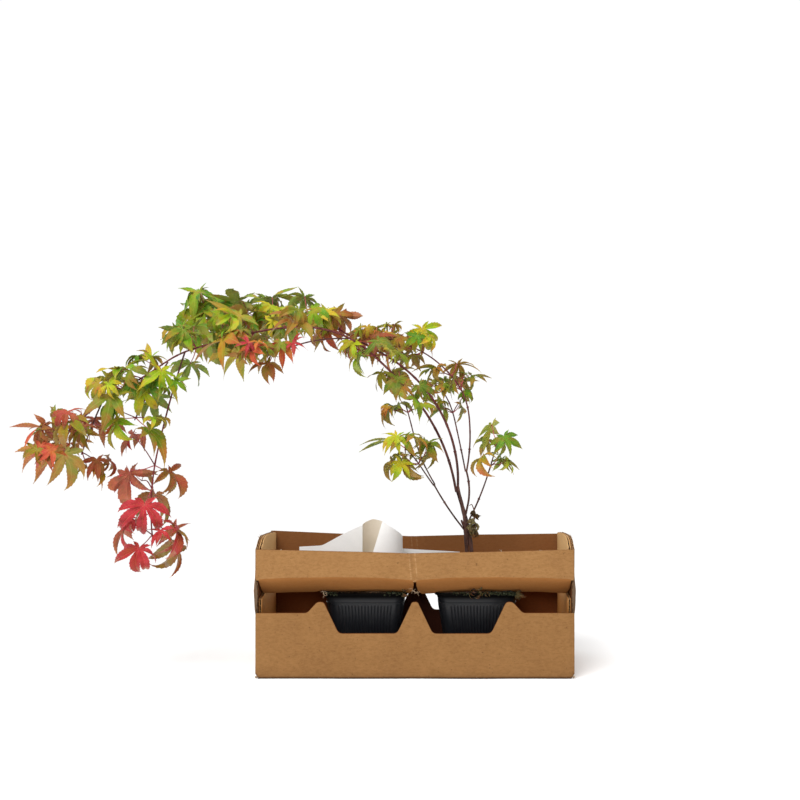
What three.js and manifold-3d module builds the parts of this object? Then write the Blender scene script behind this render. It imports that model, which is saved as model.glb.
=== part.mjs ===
// A Japanese maple sapling in its square nursery pot. The pot stands in a two-bay carrier of
// corrugated board, beside a second pot of compost with a paper label in it.
// Millimetres, +Z up. The origin is the middle of the carrier's underside. +X runs along the
// carrier's long side, and -Y is the side it is looked at from.
import * as THREE from "three";
import Module from "manifold-3d";

const wasm = await Module();
wasm.setup();

// Driving dimensions
const GAP = 0.3; // clear space between neighbouring solids
const BOARD = 3; // thickness of the corrugated board
const CARRIER = { width: 350, depth: 140, height: 141 };
// Heights, distances from the middle and rounded corners of the opening along each long side
const WINDOW = {
  head: 109,
  peak: 84.5,
  sill: 72.5,
  floor: 50,
  middle: 3,
  floorNear: 19.5,
  floorFar: 83.5,
  peakNear: 100,
  peakFar: 107,
  sillFar: 118,
  round: 4.5,
  soft: 3,
  crest: 2,
};
const BAND_DIP = 3;
const FLAP = { lean: 60, clear: 2.9, end: 160, slant: 12, split: 1.5 };
const LINER = { inset: 9, side: 6, height: 134 };
const POT = { rim: 47.5, body: 43.5, foot: 31, height: 87, lip: 9, wall: 1.5, corner: 11 };
const POT_X = { left: -56, right: 69 };
const COMPOST_TOP = 79;
const LABEL = { thick: 0.8, endX: -134, endY: 2, endTop: 135, peakTop: 168, lastTop: 140, rise: 0.2 };
const CURL = { x: -37, y: 8, from: 175, to: -105, wide: 25, narrow: 19, steps: 14 };
const STRIP = [
  { x: -60, y: 36, top: 131 },
  { x: 51, y: 30, top: 129 },
];
const STEP = 12; // length of one straight piece of a limb
const SIDES = { trunk: 10, bough: 7, stem: 5, petiole: 3 };
const PETIOLE = { radius: 0.75, taper: 0.6, sunk: 0.04 };

// The leaves. A pair of values is the least one and how much chance adds to it: sizes are shares
// of the spray's leaf size, and angles are degrees.
const LEAF = {
  thick: 0.8,
  size: [0.8, 0.35],
  spread: [45, 30],
  stalk: [0.45, 0.35],
  rise: 0.3,
  outward: 0.3,
  droop: [12, 58],
  roll: 70,
  curl: [0.1, 0.25],
  fold: 0.03,
  turnStep: 90,
  turnSlack: 30,
};
const PAIRS = { first: 0.14, last: 0.96, only: 0.7 }; // shares of a stem's length

const COLOUR = {
  board: 0xb07f4f,
  pot: 0x1d1d1f,
  compost: 0x2b211a,
  label: 0xf1eee6,
  bark: 0x4a2a26,
  green: 0x6f9424,
  olive: 0x8a8530,
  amber: 0xb9772c,
  ember: 0xb4472b,
  red: 0xa32433,
};

// One leaf: the turn of each lobe from the middle one, its length, and how deep the cut beyond it goes
const LOBES = [
  { turn: 0, long: 1, cut: 0.46 },
  { turn: 41, long: 0.92, cut: 0.42 },
  { turn: 84, long: 0.66, cut: 0.12 },
];

// The trunk from its flat cut on the compost to the fork: how far it leans to the right there, how
// high that is above the floor, and how thick it is
const TRUNK_X = 62;
const TRUNK_STATIONS = [
  { lean: 0.5, height: COMPOST_TOP + GAP, radius: 8.5 },
  { lean: 0.5, height: 84, radius: 6.3 },
  { lean: 0, height: 96, radius: 5.3 },
  { lean: -0.5, height: 118, radius: 4.9 },
  { lean: -1, height: 134, radius: 4.8 },
  { lean: -3, height: 155, radius: 4.9 },
  { lean: -5, height: 167, radius: 4.2 },
  { lean: -9, height: 183, radius: 2.7 },
  { lean: -13, height: 197, radius: 2.5 },
  { lean: -15, height: 204, radius: 3 },
];

// The limbs. Each is walked from its start in stretches, and each stretch is one solid. climb is
// the angle above level in degrees, bearing the direction from +X towards +Y, and bend and swing
// say how far they change over a stretch. A stretch with pairs carries that many pairs of leaves.
// A limb starts at a share of the length of what carries it: side sets it beside the middle of a
// tip that two limbs share, and back slides it nearer to its carrier.
const LIMBS = [
  {
    from: { node: "trunk", at: 1, side: 1.65 },
    climb: 92,
    bearing: 178,
    radius: [1.5, 0.9],
    stretches: [
      { node: "bough_a_low", length: 84, bend: -29, swing: 0 },
      { node: "bough_a_high", length: 98, bend: -34, swing: -6 },
      {
        node: "leaves_a_saddle", length: 60, bend: -1, swing: -4, tint: "amber",
        pairs: 2, leaf: 36, lift: 0.9, seed: 32,
      },
      {
        node: "leaves_a_crest", length: 72, bend: -30, swing: 2, tint: "olive",
        pairs: 3, leaf: 40, lift: 0.9, seed: 552,
      },
      {
        node: "leaves_a_tip", length: 74, bend: -19, swing: 6, tint: "green",
        pairs: 4, leaf: 50, lift: 0.9, seed: 877,
      },
    ],
  },
  {
    from: { node: "trunk", at: 1, side: -1.65 },
    climb: 80,
    bearing: 190,
    radius: [1.5, 0.7],
    stretches: [
      { node: "bough_b_low", length: 128, bend: -33, swing: 2 },
      {
        node: "leaves_b_shoulder", length: 56, bend: -5, swing: 2, tint: "olive",
        pairs: 2, leaf: 34, lift: 0.6, seed: 675,
      },
      { node: "bough_b_high", length: 86, bend: -42, swing: 2 },
      {
        node: "leaves_b_crown", length: 58, bend: -14, swing: 0, tint: "green",
        pairs: 2, leaf: 42, lift: 0.6, seed: 477,
      },
      {
        node: "leaves_b_fork", length: 66, bend: -3, swing: 0, tint: "green",
        pairs: 2, bare: 0.3, leaf: 38, lift: 0.5, seed: 206,
      },
      { node: "bough_b_far", length: 34, bend: -18, swing: 0 },
      {
        node: "leaves_b_gold", length: 56, bend: 5, swing: 0, tint: "olive",
        pairs: 3, leaf: 38, lift: 0.5, seed: 562,
      },
      { node: "bough_b_end", length: 46, bend: -13, swing: 0 },
      {
        node: "leaves_b_tip", length: 50, bend: 3, swing: -16, tint: "ember",
        pairs: 3, leaf: 36, lift: 0.3, seed: 70,
      },
    ],
  },
  {
    from: { node: "bough_b_high", at: 0.36 },
    climb: 2,
    bearing: 218,
    radius: [0.9, 0.7],
    stretches: [
      { node: "bough_spur", length: 72, bend: -20, swing: -8 },
      {
        node: "leaves_spur", length: 38, bend: 12, swing: 0, tint: "ember",
        pairs: 3, leaf: 30, lift: 0.2, seed: 785,
      },
    ],
  },
  {
    from: { node: "bough_b_far", at: 0.3 },
    climb: -72,
    bearing: 192,
    radius: [1, 0.8],
    stretches: [
      { node: "bough_hang", length: 112, bend: -6, swing: 0 },
      {
        node: "leaves_hang", length: 92, bend: -18, swing: 0, tint: "red",
        pairs: 4, leaf: 40, lift: 0, droop: 32, seed: 589,
      },
    ],
  },
  {
    from: { node: "bough_b_far", at: 0.85 },
    climb: -56,
    bearing: 205,
    radius: [0.9, 0.7],
    stretches: [
      {
        node: "leaves_sag", length: 70, bend: -8, swing: 0, tint: "green",
        pairs: 2, bare: 0.45, leaf: 36, lift: 0, seed: 162,
      },
    ],
  },
  {
    from: { node: "bough_b_end", at: 0.5 },
    climb: -53,
    bearing: 140,
    radius: [0.9, 0.7],
    stretches: [
      {
        node: "leaves_drop", length: 66, bend: -8, swing: 0, tint: "ember",
        pairs: 2, bare: 0.4, leaf: 34, lift: 0, seed: 5,
      },
    ],
  },
  {
    from: { node: "trunk", at: 0.72, back: 1.9 },
    climb: 107,
    bearing: 150,
    radius: [1.2, 1.1],
    stretches: [{ node: "bough_d", length: 46, bend: -36, swing: 0 }],
  },
  {
    from: { node: "bough_d", at: 1, side: 1.1 },
    climb: 102,
    bearing: 148,
    radius: [1, 0.7],
    stretches: [
      { node: "bough_d_tall", length: 62, bend: -19, swing: 0 },
      {
        node: "leaves_d_low", length: 44, bend: -35, swing: 0, tint: "olive",
        pairs: 1, leaf: 30, lift: 0.6, seed: 695,
      },
      {
        node: "leaves_d_bend", length: 60, bend: -24, swing: 0, tint: "green",
        pairs: 2, leaf: 32, lift: 0.8, seed: 681,
      },
      {
        node: "leaves_d_tip", length: 68, bend: -18, swing: 0, tint: "amber",
        pairs: 3, leaf: 34, lift: 0.8, seed: 791,
      },
    ],
  },
  {
    from: { node: "bough_d", at: 1, side: -1.1 },
    climb: 75,
    bearing: 135,
    radius: [0.9, 0.7],
    stretches: [
      { node: "bough_d_short", length: 62, bend: -3, swing: 0 },
      {
        node: "leaves_d_short", length: 42, bend: -32, swing: 0, tint: "green",
        pairs: 2, leaf: 26, lift: 0.5, seed: 511,
      },
    ],
  },
  {
    from: { node: "trunk", at: 0.64, back: 1 },
    climb: 62,
    bearing: -24,
    radius: [1, 0.7],
    stretches: [
      { node: "bough_e", length: 62, bend: 10, swing: 0 },
      {
        node: "leaves_e", length: 34, bend: 2, swing: 0, tint: "green",
        pairs: 2, leaf: 30, lift: 0.9, seed: 385,
      },
    ],
  },
  {
    from: { node: "trunk", at: 0.56 },
    climb: 49,
    bearing: 208,
    radius: [1, 0.9],
    stretches: [{ node: "bough_f", length: 64, bend: 10, swing: 0 }],
  },
  {
    from: { node: "bough_f", at: 1, side: -1 },
    climb: 50,
    bearing: 216,
    radius: [0.8, 0.7],
    stretches: [
      { node: "bough_f_low", length: 26, bend: 2, swing: 0 },
      {
        node: "leaves_f_low", length: 32, bend: -13, swing: 0, tint: "olive",
        pairs: 2, leaf: 36, lift: 0.8, seed: 577,
      },
    ],
  },
  {
    from: { node: "bough_f", at: 1, side: 1 },
    climb: 58,
    bearing: 196,
    radius: [0.8, 0.7],
    stretches: [
      { node: "bough_f_high", length: 64, bend: 18, swing: 0 },
      {
        node: "leaves_f_high", length: 32, bend: -3, swing: 0, tint: "green",
        pairs: 1, leaf: 32, lift: 0.8, seed: 329,
      },
    ],
  },
];

// Solids and meshes
const group = new THREE.Group();
const degrees = THREE.MathUtils.degToRad;

function addMesh(name, geometry, colour, roughness = 0.85) {
  const material = new THREE.MeshStandardMaterial({ color: colour, roughness, metalness: 0 });
  const mesh = new THREE.Mesh(geometry, material);
  mesh.name = name;
  group.add(mesh);
  return mesh;
}

function geometryFrom(vertices, triangles) {
  const geometry = new THREE.BufferGeometry();
  const flat = vertices.flatMap((v) => [v.x, v.y, v.z]);
  geometry.setAttribute("position", new THREE.BufferAttribute(new Float32Array(flat), 3));
  geometry.setIndex(triangles.flat());
  return geometry;
}

function solidOf(geometry) {
  return new wasm.Manifold(
    new wasm.Mesh({
      numProp: 3,
      vertProperties: new Float32Array(geometry.getAttribute("position").array),
      triVerts: new Uint32Array(geometry.getIndex().array),
    }),
  );
}

function geometryOf(solid) {
  const mesh = solid.getMesh();
  const geometry = new THREE.BufferGeometry();
  geometry.setAttribute("position", new THREE.BufferAttribute(mesh.vertProperties, 3));
  geometry.setIndex(new THREE.BufferAttribute(mesh.triVerts, 1));
  return geometry;
}

// The largest closed body of a fused solid: loose scraps and sealed hollows are left behind.
function mainBody(solid) {
  const bodies = solid.decompose();
  return bodies.reduce((best, body) => (body.volume() > best.volume() ? body : best));
}

// Skins a row of rings that all have the same number of points, and closes both ends.
function skin(rings) {
  const vertices = rings.flat();
  const around = rings[0].length;
  const triangles = [];
  for (let r = 0; r + 1 < rings.length; r++) {
    for (let i = 0; i < around; i++) {
      const here = r * around + i;
      const next = r * around + ((i + 1) % around);
      triangles.push([here, next, next + around], [here, next + around, here + around]);
    }
  }
  const last = (rings.length - 1) * around;
  for (let i = 1; i + 1 < around; i++) {
    triangles.push([0, i + 1, i], [last, last + i, last + i + 1]);
  }
  return geometryFrom(vertices, triangles);
}

// Turns an outline drawn in X and Z into a board that reaches from y to y + thick.
function uprightBoard(shape, y, thick) {
  const geometry = new THREE.ExtrudeGeometry(shape, { depth: thick, bevelEnabled: false, curveSegments: 3 });
  geometry.rotateX(Math.PI / 2);
  geometry.translate(0, y + thick, 0);
  return geometry;
}

// A closed outline through the points, with each corner that has a radius rounded off.
function roundedShape(corners) {
  const shape = new THREE.Shape();
  corners.forEach(([x, z, radius = 0], i) => {
    const here = new THREE.Vector2(x, z);
    const before = new THREE.Vector2(...corners[(i + corners.length - 1) % corners.length]);
    const after = new THREE.Vector2(...corners[(i + 1) % corners.length]);
    const into = before.sub(here).setLength(radius).add(here);
    const out = after.sub(here).setLength(radius).add(here);
    if (i === 0) shape.moveTo(into.x, into.y);
    else shape.lineTo(into.x, into.y);
    if (radius > 0) shape.quadraticCurveTo(here.x, here.y, out.x, out.y);
  });
  shape.closePath();
  return shape;
}

// The carrier
const HALF_X = CARRIER.width / 2;
const HALF_Y = CARRIER.depth / 2;

// The lower part of a long side: a board whose top edge drops in front of each pot.
function longPanel(name, y) {
  const w = WINDOW;
  const right = [
    [w.middle, w.peak, w.crest],
    [w.floorNear, w.floor, w.round],
    [w.floorFar, w.floor, w.round],
    [w.peakNear, w.peak, w.soft],
    [w.peakFar, w.peak, w.soft],
    [w.sillFar, w.sill, w.soft],
    [HALF_X, w.sill, 0],
    [HALF_X, 0, 0],
  ];
  const left = right.map(([x, z, round]) => [-x, z, round]).reverse();
  addMesh(name, uprightBoard(roundedShape([...left, ...right]), y, BOARD), COLOUR.board);
}

// The upper part of a long side, a little lower in the middle than at its ends.
function longBand(name, y) {
  const shape = roundedShape([
    [-HALF_X, WINDOW.head, 0],
    [HALF_X, WINDOW.head, 0],
    [HALF_X, CARRIER.height, 0],
    [0, CARRIER.height - BAND_DIP, HALF_X / 2],
    [-HALF_X, CARRIER.height, 0],
  ]);
  addMesh(name, uprightBoard(shape, y, BOARD), COLOUR.board);
}

// A flap is the strip that was pushed in below the band. It hangs from the band's lower edge and
// leans in until it rests on the pots' rims, and its free edge has the notches that the peaks of
// the lower panel left. side is 1 on the right and -1 on the left, and face is -1 on the front.
function flap(name, side, face) {
  const w = WINDOW;
  const drop = (z) => -(w.head - z - GAP);
  const slope = (w.peakNear - w.floorFar) / (w.peak - w.floor);
  const notch = slope * (w.peak - w.sill);
  const corners = [
    [FLAP.split, -FLAP.clear, 0],
    [FLAP.end, -FLAP.clear, 0],
    [FLAP.end - FLAP.slant, drop(w.sill), w.soft],
    [w.sillFar, drop(w.sill), w.soft],
    [w.peakFar, drop(w.peak), w.soft],
    [w.peakNear, drop(w.peak), w.soft],
    [w.peakNear - notch, drop(w.sill), w.soft],
    [w.middle + notch, drop(w.sill), w.soft],
    [FLAP.split, drop(w.peak), 0],
  ].map(([x, z, round]) => [x * side, z, round]);
  const board = uprightBoard(roundedShape(corners), face < 0 ? 0 : -BOARD, BOARD);
  board.rotateX(degrees(-face * FLAP.lean));
  board.translate(0, face * HALF_Y, w.head);
  addMesh(name, board, COLOUR.board);
}

function box(name, low, high, colour, roughness) {
  const size = new THREE.Vector3().subVectors(high, low);
  const geometry = new THREE.BoxGeometry(size.x, size.y, size.z);
  const mesh = addMesh(name, geometry, colour, roughness);
  mesh.position.addVectors(low, high).multiplyScalar(0.5);
  return mesh;
}

function carrier() {
  const inside = HALF_Y - BOARD - GAP;
  box(
    "carrier_base",
    new THREE.Vector3(-HALF_X + BOARD + GAP, -inside, 0),
    new THREE.Vector3(HALF_X - BOARD - GAP, inside, BOARD),
    COLOUR.board,
  );
  longPanel("carrier_front", -HALF_Y);
  longPanel("carrier_back", HALF_Y - BOARD);
  longBand("carrier_band_front", -HALF_Y);
  longBand("carrier_band_back", HALF_Y - BOARD);
  for (const [word, side] of [["left", -1], ["right", 1]]) {
    const outer = [side * HALF_X, side * (HALF_X - BOARD)].sort((p, q) => p - q);
    box(
      `carrier_end_${word}`,
      new THREE.Vector3(outer[0], -inside, 0),
      new THREE.Vector3(outer[1], inside, CARRIER.height),
      COLOUR.board,
    );
    const near = HALF_X - LINER.inset;
    const inner = [side * near, side * (near - BOARD)].sort((p, q) => p - q);
    box(
      `carrier_liner_${word}`,
      new THREE.Vector3(inner[0], -HALF_Y + LINER.side, BOARD + GAP),
      new THREE.Vector3(inner[1], HALF_Y - LINER.side, LINER.height),
      COLOUR.board,
    );
    flap(`carrier_flap_front_${word}`, side, -1);
    flap(`carrier_flap_back_${word}`, side, 1);
  }
}

// The pots
function squareRing(x, z, half, corner) {
  const ring = [];
  const perCorner = 3;
  const centre = half - corner;
  for (let quarter = 0; quarter < 4; quarter++) {
    for (let i = 0; i < perCorner; i++) {
      const angle = (quarter + i / (perCorner - 1)) * (Math.PI / 2);
      const cx = quarter === 0 || quarter === 3 ? centre : -centre;
      const cy = quarter < 2 ? centre : -centre;
      ring.push(new THREE.Vector3(x + cx + corner * Math.cos(angle), cy + corner * Math.sin(angle), z));
    }
  }
  return ring;
}

function halfAt(z, inset) {
  const foot = BOARD + GAP;
  return POT.foot + ((POT.body - POT.foot) * (z - foot)) / POT.height - inset;
}

function pot(name, x) {
  const foot = BOARD + GAP;
  const top = foot + POT.height;
  const under = top - POT.lip;
  const ring = (z, half) => squareRing(x, z, half, POT.corner * (half / POT.rim));
  addMesh(
    name,
    skin([
      ring(foot, POT.foot),
      ring(under, halfAt(under, 0)),
      ring(under, POT.rim),
      ring(top, POT.rim),
      ring(top, halfAt(top, POT.wall)),
      ring(foot + POT.wall, halfAt(foot + POT.wall, POT.wall)),
    ]),
    COLOUR.pot,
    0.45,
  );
}

function compost(name, x) {
  const low = BOARD + GAP + POT.wall + GAP;
  const inset = POT.wall + GAP;
  const ring = (z) => squareRing(x, z, halfAt(z, inset), POT.corner * (halfAt(z, inset) / POT.rim));
  addMesh(name, skin([ring(low), ring(COMPOST_TOP)]), COLOUR.compost, 1);
}

// A band of paper that stands on the pots' rims. Each mark is a place and the band's top there.
function paperBand(name, marks) {
  const low = BOARD + GAP + POT.height + GAP;
  const rings = marks.map(({ x, y, top }, i) => {
    const before = marks[Math.max(0, i - 1)];
    const after = marks[Math.min(marks.length - 1, i + 1)];
    const along = new THREE.Vector2(after.x - before.x, after.y - before.y).normalize();
    const aside = along.rotateAround(new THREE.Vector2(), Math.PI / 2).multiplyScalar(LABEL.thick / 2);
    return [[-1, low], [1, low], [1, top], [-1, top]].map(
      ([hand, z]) => new THREE.Vector3(x + aside.x * hand, y + aside.y * hand, z),
    );
  });
  addMesh(name, skin(rings), COLOUR.label, 0.6);
}

// The label: a straight run that ends in a curl, and a low strip behind it across both pots.
function label() {
  const marks = [{ x: LABEL.endX, y: LABEL.endY, top: LABEL.endTop }];
  for (let i = 0; i <= CURL.steps; i++) {
    const share = i / CURL.steps;
    const angle = degrees(CURL.from + (CURL.to - CURL.from) * share);
    const radius = CURL.wide + (CURL.narrow - CURL.wide) * share;
    const arch = Math.sin(Math.PI * (LABEL.rise + (1 - LABEL.rise) * share));
    const top = LABEL.lastTop + (LABEL.peakTop - LABEL.lastTop) * arch;
    marks.push({ x: CURL.x + radius * Math.cos(angle), y: CURL.y + radius * Math.sin(angle), top });
  }
  paperBand("label_curl", marks);
  paperBand("label_strip", STRIP);
}

// The plant
const up = new THREE.Vector3(0, 0, 1);
const across = new THREE.Vector3(1, 0, 0);

// The same seed always gives the same row of numbers from 0 to 1.
function randomRow(seed) {
  let state = seed;
  return () => {
    state = (state + 0x6d2b79f5) >>> 0;
    let t = Math.imul(state ^ (state >>> 15), state | 1);
    t ^= t + Math.imul(t ^ (t >>> 7), t | 61);
    return ((t ^ (t >>> 14)) >>> 0) / 4294967296;
  };
}

function heading(climb, bearing) {
  const level = Math.cos(degrees(climb));
  return new THREE.Vector3(
    level * Math.cos(degrees(bearing)),
    level * Math.sin(degrees(bearing)),
    Math.sin(degrees(climb)),
  );
}

// The direction square to forward that lies nearest to up, or to +X where forward is steep.
function squareTo(forward) {
  const guide = Math.abs(forward.z) > 0.9 ? across : up;
  return guide.clone().addScaledVector(forward, -guide.dot(forward)).normalize();
}

// A tapering limb through the points. Each ring is turned the least from the one before it.
function limbSkin(points, radii, sides) {
  let right = null;
  const rings = points.map((point, i) => {
    const before = points[Math.max(0, i - 1)];
    const after = points[Math.min(points.length - 1, i + 1)];
    const forward = new THREE.Vector3().subVectors(after, before).normalize();
    right = right ? right.addScaledVector(forward, -right.dot(forward)).normalize() : squareTo(forward);
    const top = new THREE.Vector3().crossVectors(forward, right);
    return Array.from({ length: sides }, (_, k) => {
      const angle = (k / sides) * 2 * Math.PI;
      return point
        .clone()
        .addScaledVector(right, radii[i] * Math.cos(angle))
        .addScaledVector(top, radii[i] * Math.sin(angle));
    });
  });
  return skin(rings);
}

function trunkPath() {
  return {
    points: TRUNK_STATIONS.map(({ lean, height }) => new THREE.Vector3(TRUNK_X + lean, 0, height)),
    radii: TRUNK_STATIONS.map(({ radius }) => radius),
  };
}

// The point, thickness and direction at a share of a path's length.
function pointOn({ points, radii }, share) {
  const lengths = points.slice(1).map((p, i) => p.distanceTo(points[i]));
  let left = share * lengths.reduce((sum, length) => sum + length, 0);
  let i = 0;
  while (i + 1 < lengths.length && left > lengths[i]) {
    left -= lengths[i];
    i += 1;
  }
  const rest = Math.min(1, left / lengths[i]);
  return {
    point: points[i].clone().lerp(points[i + 1], rest),
    radius: radii[i] + (radii[i + 1] - radii[i]) * rest,
    forward: new THREE.Vector3().subVectors(points[i + 1], points[i]).normalize(),
  };
}

// Where a limb starts, clear of what carries it. Two limbs that share a tip stand side by side.
function startOf(limb, paths) {
  const parent = pointOn(paths.get(limb.from.node), limb.from.at);
  const along = heading(limb.climb, limb.bearing);
  const lean = parent.forward.angleTo(along);
  const radius = limb.radius[0];
  if (limb.from.side !== undefined) {
    const aside = new THREE.Vector3(parent.forward.z, 0, -parent.forward.x).normalize();
    return parent.point
      .addScaledVector(aside, limb.from.side)
      .addScaledVector(parent.forward, GAP + radius * Math.sin(lean));
  }
  const away = (parent.radius + GAP + radius * Math.abs(Math.cos(lean))) / Math.sin(lean);
  return parent.point.addScaledVector(along, away - (limb.from.back ?? 0));
}

function walk(start, climb, bearing, stretch) {
  const steps = Math.max(3, Math.round(stretch.length / STEP));
  const points = [start];
  for (let i = 0; i < steps; i++) {
    const share = (i + 0.5) / steps;
    const forward = heading(climb + stretch.bend * share, bearing + stretch.swing * share);
    points.push(points[i].clone().addScaledVector(forward, stretch.length / steps));
  }
  return points;
}

// A leaf: where its stalk leaves the stem, where the blade hangs, and how it is turned.
function placeLeaf(stem, stretch, turn, draw) {
  const first = squareTo(stem.forward);
  const second = new THREE.Vector3().crossVectors(stem.forward, first);
  const out = first.multiplyScalar(Math.cos(degrees(turn))).addScaledVector(second, Math.sin(degrees(turn)));
  const chance = ([least, more]) => least + more * draw();
  const size = stretch.leaf * chance(LEAF.size);
  const spread = degrees(chance(LEAF.spread));
  const stalk = size * chance(LEAF.stalk);
  const leave = out.clone().multiplyScalar(Math.sin(spread)).addScaledVector(stem.forward, Math.cos(spread));
  const arrive = leave.clone().addScaledVector(up, stretch.lift + LEAF.rise * draw()).normalize();
  const knee = stem.point.clone().addScaledVector(leave, stalk * 0.5);
  const base = knee.clone().addScaledVector(arrive, stalk * 0.5);
  const level = arrive.clone().addScaledVector(out, LEAF.outward).setZ(0).normalize();
  const [leastDroop, moreDroop] = LEAF.droop;
  const droop = degrees((stretch.droop ?? leastDroop) + moreDroop * draw());
  const middle = level.multiplyScalar(Math.cos(droop)).addScaledVector(up, -Math.sin(droop));
  const face = up.clone().addScaledVector(middle, -middle.z).normalize();
  face.applyAxisAngle(middle, degrees(LEAF.roll * (draw() - 0.5)));
  return { foot: stem.point, knee, base, middle, face, size, curl: chance(LEAF.curl) };
}

// A point of the blade, at a turn from the middle lobe and a share of the leaf's size from the base.
// The blade is creased along each lobe, and it droops the more the further out it is.
function bladePoint(leaf, turn, reach, lift) {
  const side = new THREE.Vector3().crossVectors(leaf.face, leaf.middle);
  return leaf.base
    .clone()
    .addScaledVector(leaf.middle, leaf.size * reach * Math.cos(degrees(turn)))
    .addScaledVector(side, leaf.size * reach * Math.sin(degrees(turn)))
    .addScaledVector(leaf.face, leaf.size * (lift - leaf.curl * reach * reach));
}

// The blade's outline, round from the middle lobe's tip.
function bladeRim(leaf) {
  const lobes = LOBES.map(({ turn, long }) => ({ turn, reach: long, lift: 0 }));
  const cuts = LOBES.map(({ turn, cut }, i) => {
    const next = LOBES[i + 1]?.turn ?? 360 - turn;
    return { turn: (turn + next) / 2, reach: cut, lift: LEAF.fold };
  });
  const left = LOBES.flatMap((_, i) => [lobes[i], cuts[i]]);
  const right = left.slice(1, -1).reverse().map((mark) => ({ ...mark, turn: -mark.turn }));
  return [...left, ...right].map(({ turn, reach, lift }) => bladePoint(leaf, turn, reach, lift));
}

// A closed plate: its outline and its base, a little above and a little below the leaf's middle.
function bladeSkin(leaf) {
  const half = leaf.face.clone().multiplyScalar(LEAF.thick / 2);
  const layer = [bladePoint(leaf, 0, 0, 0), ...bladeRim(leaf)];
  const vertices = [...layer.map((v) => v.clone().add(half)), ...layer.map((v) => v.clone().sub(half))];
  const count = layer.length;
  const triangles = [];
  for (let i = 1; i < count; i++) {
    const next = i + 1 < count ? i + 1 : 1;
    triangles.push([0, i, next], [count, count + next, count + i]);
    triangles.push([i, count + i, count + next], [i, count + next, next]);
  }
  return geometryFrom(vertices, triangles);
}

function leafSolid(leaf) {
  const sunk = leaf.base.clone().addScaledVector(leaf.middle, leaf.size * PETIOLE.sunk);
  const radii = [PETIOLE.radius, PETIOLE.radius, PETIOLE.radius * PETIOLE.taper];
  const stalk = solidOf(limbSkin([leaf.foot, leaf.knee, sunk], radii, SIDES.petiole));
  return stalk.add(solidOf(bladeSkin(leaf)));
}

// Pairs of leaves stand opposite each other, and each pair is turned a quarter from the last. A
// stretch may say which share of its stem stays bare before the first pair.
function leavesOn(path, stretch) {
  const draw = randomRow(stretch.seed);
  const start = 360 * draw();
  const leaves = [];
  const first = stretch.bare ?? PAIRS.first;
  const between = (PAIRS.last - first) / (stretch.pairs - 1);
  for (let pair = 0; pair < stretch.pairs; pair++) {
    const stem = pointOn(path, stretch.pairs === 1 ? PAIRS.only : first + between * pair);
    const turn = start + LEAF.turnStep * pair + LEAF.turnSlack * (draw() - 0.5);
    leaves.push(placeLeaf(stem, stretch, turn, draw), placeLeaf(stem, stretch, turn + 180, draw));
  }
  return leaves;
}

// A stretch of a limb: a bare bough, or a stem with its leaves fused on.
function addStretch(stretch, path) {
  const points = path.points.map((p) => p.clone());
  points[0].addScaledVector(new THREE.Vector3().subVectors(points[1], points[0]).normalize(), GAP);
  const stem = limbSkin(points, path.radii, stretch.pairs ? SIDES.stem : SIDES.bough);
  if (!stretch.pairs) {
    addMesh(stretch.node, stem, COLOUR.bark);
    return;
  }
  const spray = leavesOn(path, stretch).reduce((sum, leaf) => sum.add(leafSolid(leaf)), solidOf(stem));
  addMesh(stretch.node, geometryOf(mainBody(spray)), COLOUR[stretch.tint], 0.7);
}

function plant() {
  const trunk = trunkPath();
  const paths = new Map([["trunk", trunk]]);
  addMesh("trunk", limbSkin(trunk.points, trunk.radii, SIDES.trunk), COLOUR.bark);
  for (const limb of LIMBS) {
    const whole = limb.stretches.reduce((sum, { length }) => sum + length, 0);
    const radiusAt = (done) => limb.radius[0] + ((limb.radius[1] - limb.radius[0]) * done) / whole;
    let { climb, bearing } = limb;
    let start = startOf(limb, paths);
    let done = 0;
    for (const stretch of limb.stretches) {
      const points = walk(start, climb, bearing, stretch);
      const radii = points.map((_, i) => radiusAt(done + (stretch.length * i) / (points.length - 1)));
      paths.set(stretch.node, { points, radii });
      addStretch(stretch, { points, radii });
      start = points[points.length - 1];
      climb += stretch.bend;
      bearing += stretch.swing;
      done += stretch.length;
    }
  }
}

carrier();
for (const [word, x] of Object.entries(POT_X)) {
  pot(`pot_${word}`, x);
  compost(`compost_${word}`, x);
}
label();
plant();

export default group;
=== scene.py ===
# The looks of a Japanese maple sapling in its nursery pot and cardboard carrier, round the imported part.
# Lengths are millimetres until a mesh is made. +X is right in the photograph, +Y away from the camera.
import math
from typing import NamedTuple

import bmesh
import bpy
import numpy as np
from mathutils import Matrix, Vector


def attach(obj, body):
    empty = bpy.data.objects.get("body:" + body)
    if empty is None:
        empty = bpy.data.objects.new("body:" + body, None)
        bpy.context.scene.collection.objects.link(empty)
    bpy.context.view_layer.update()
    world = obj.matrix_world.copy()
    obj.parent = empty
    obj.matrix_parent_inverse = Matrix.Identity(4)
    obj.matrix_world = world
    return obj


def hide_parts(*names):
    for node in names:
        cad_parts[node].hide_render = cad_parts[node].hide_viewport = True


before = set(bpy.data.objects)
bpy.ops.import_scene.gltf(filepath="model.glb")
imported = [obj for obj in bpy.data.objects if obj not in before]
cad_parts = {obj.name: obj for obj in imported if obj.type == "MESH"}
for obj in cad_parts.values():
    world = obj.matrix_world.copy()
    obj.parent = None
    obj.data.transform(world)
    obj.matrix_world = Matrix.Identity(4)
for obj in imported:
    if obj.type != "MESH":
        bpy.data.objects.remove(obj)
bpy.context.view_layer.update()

MM = 0.001

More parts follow.
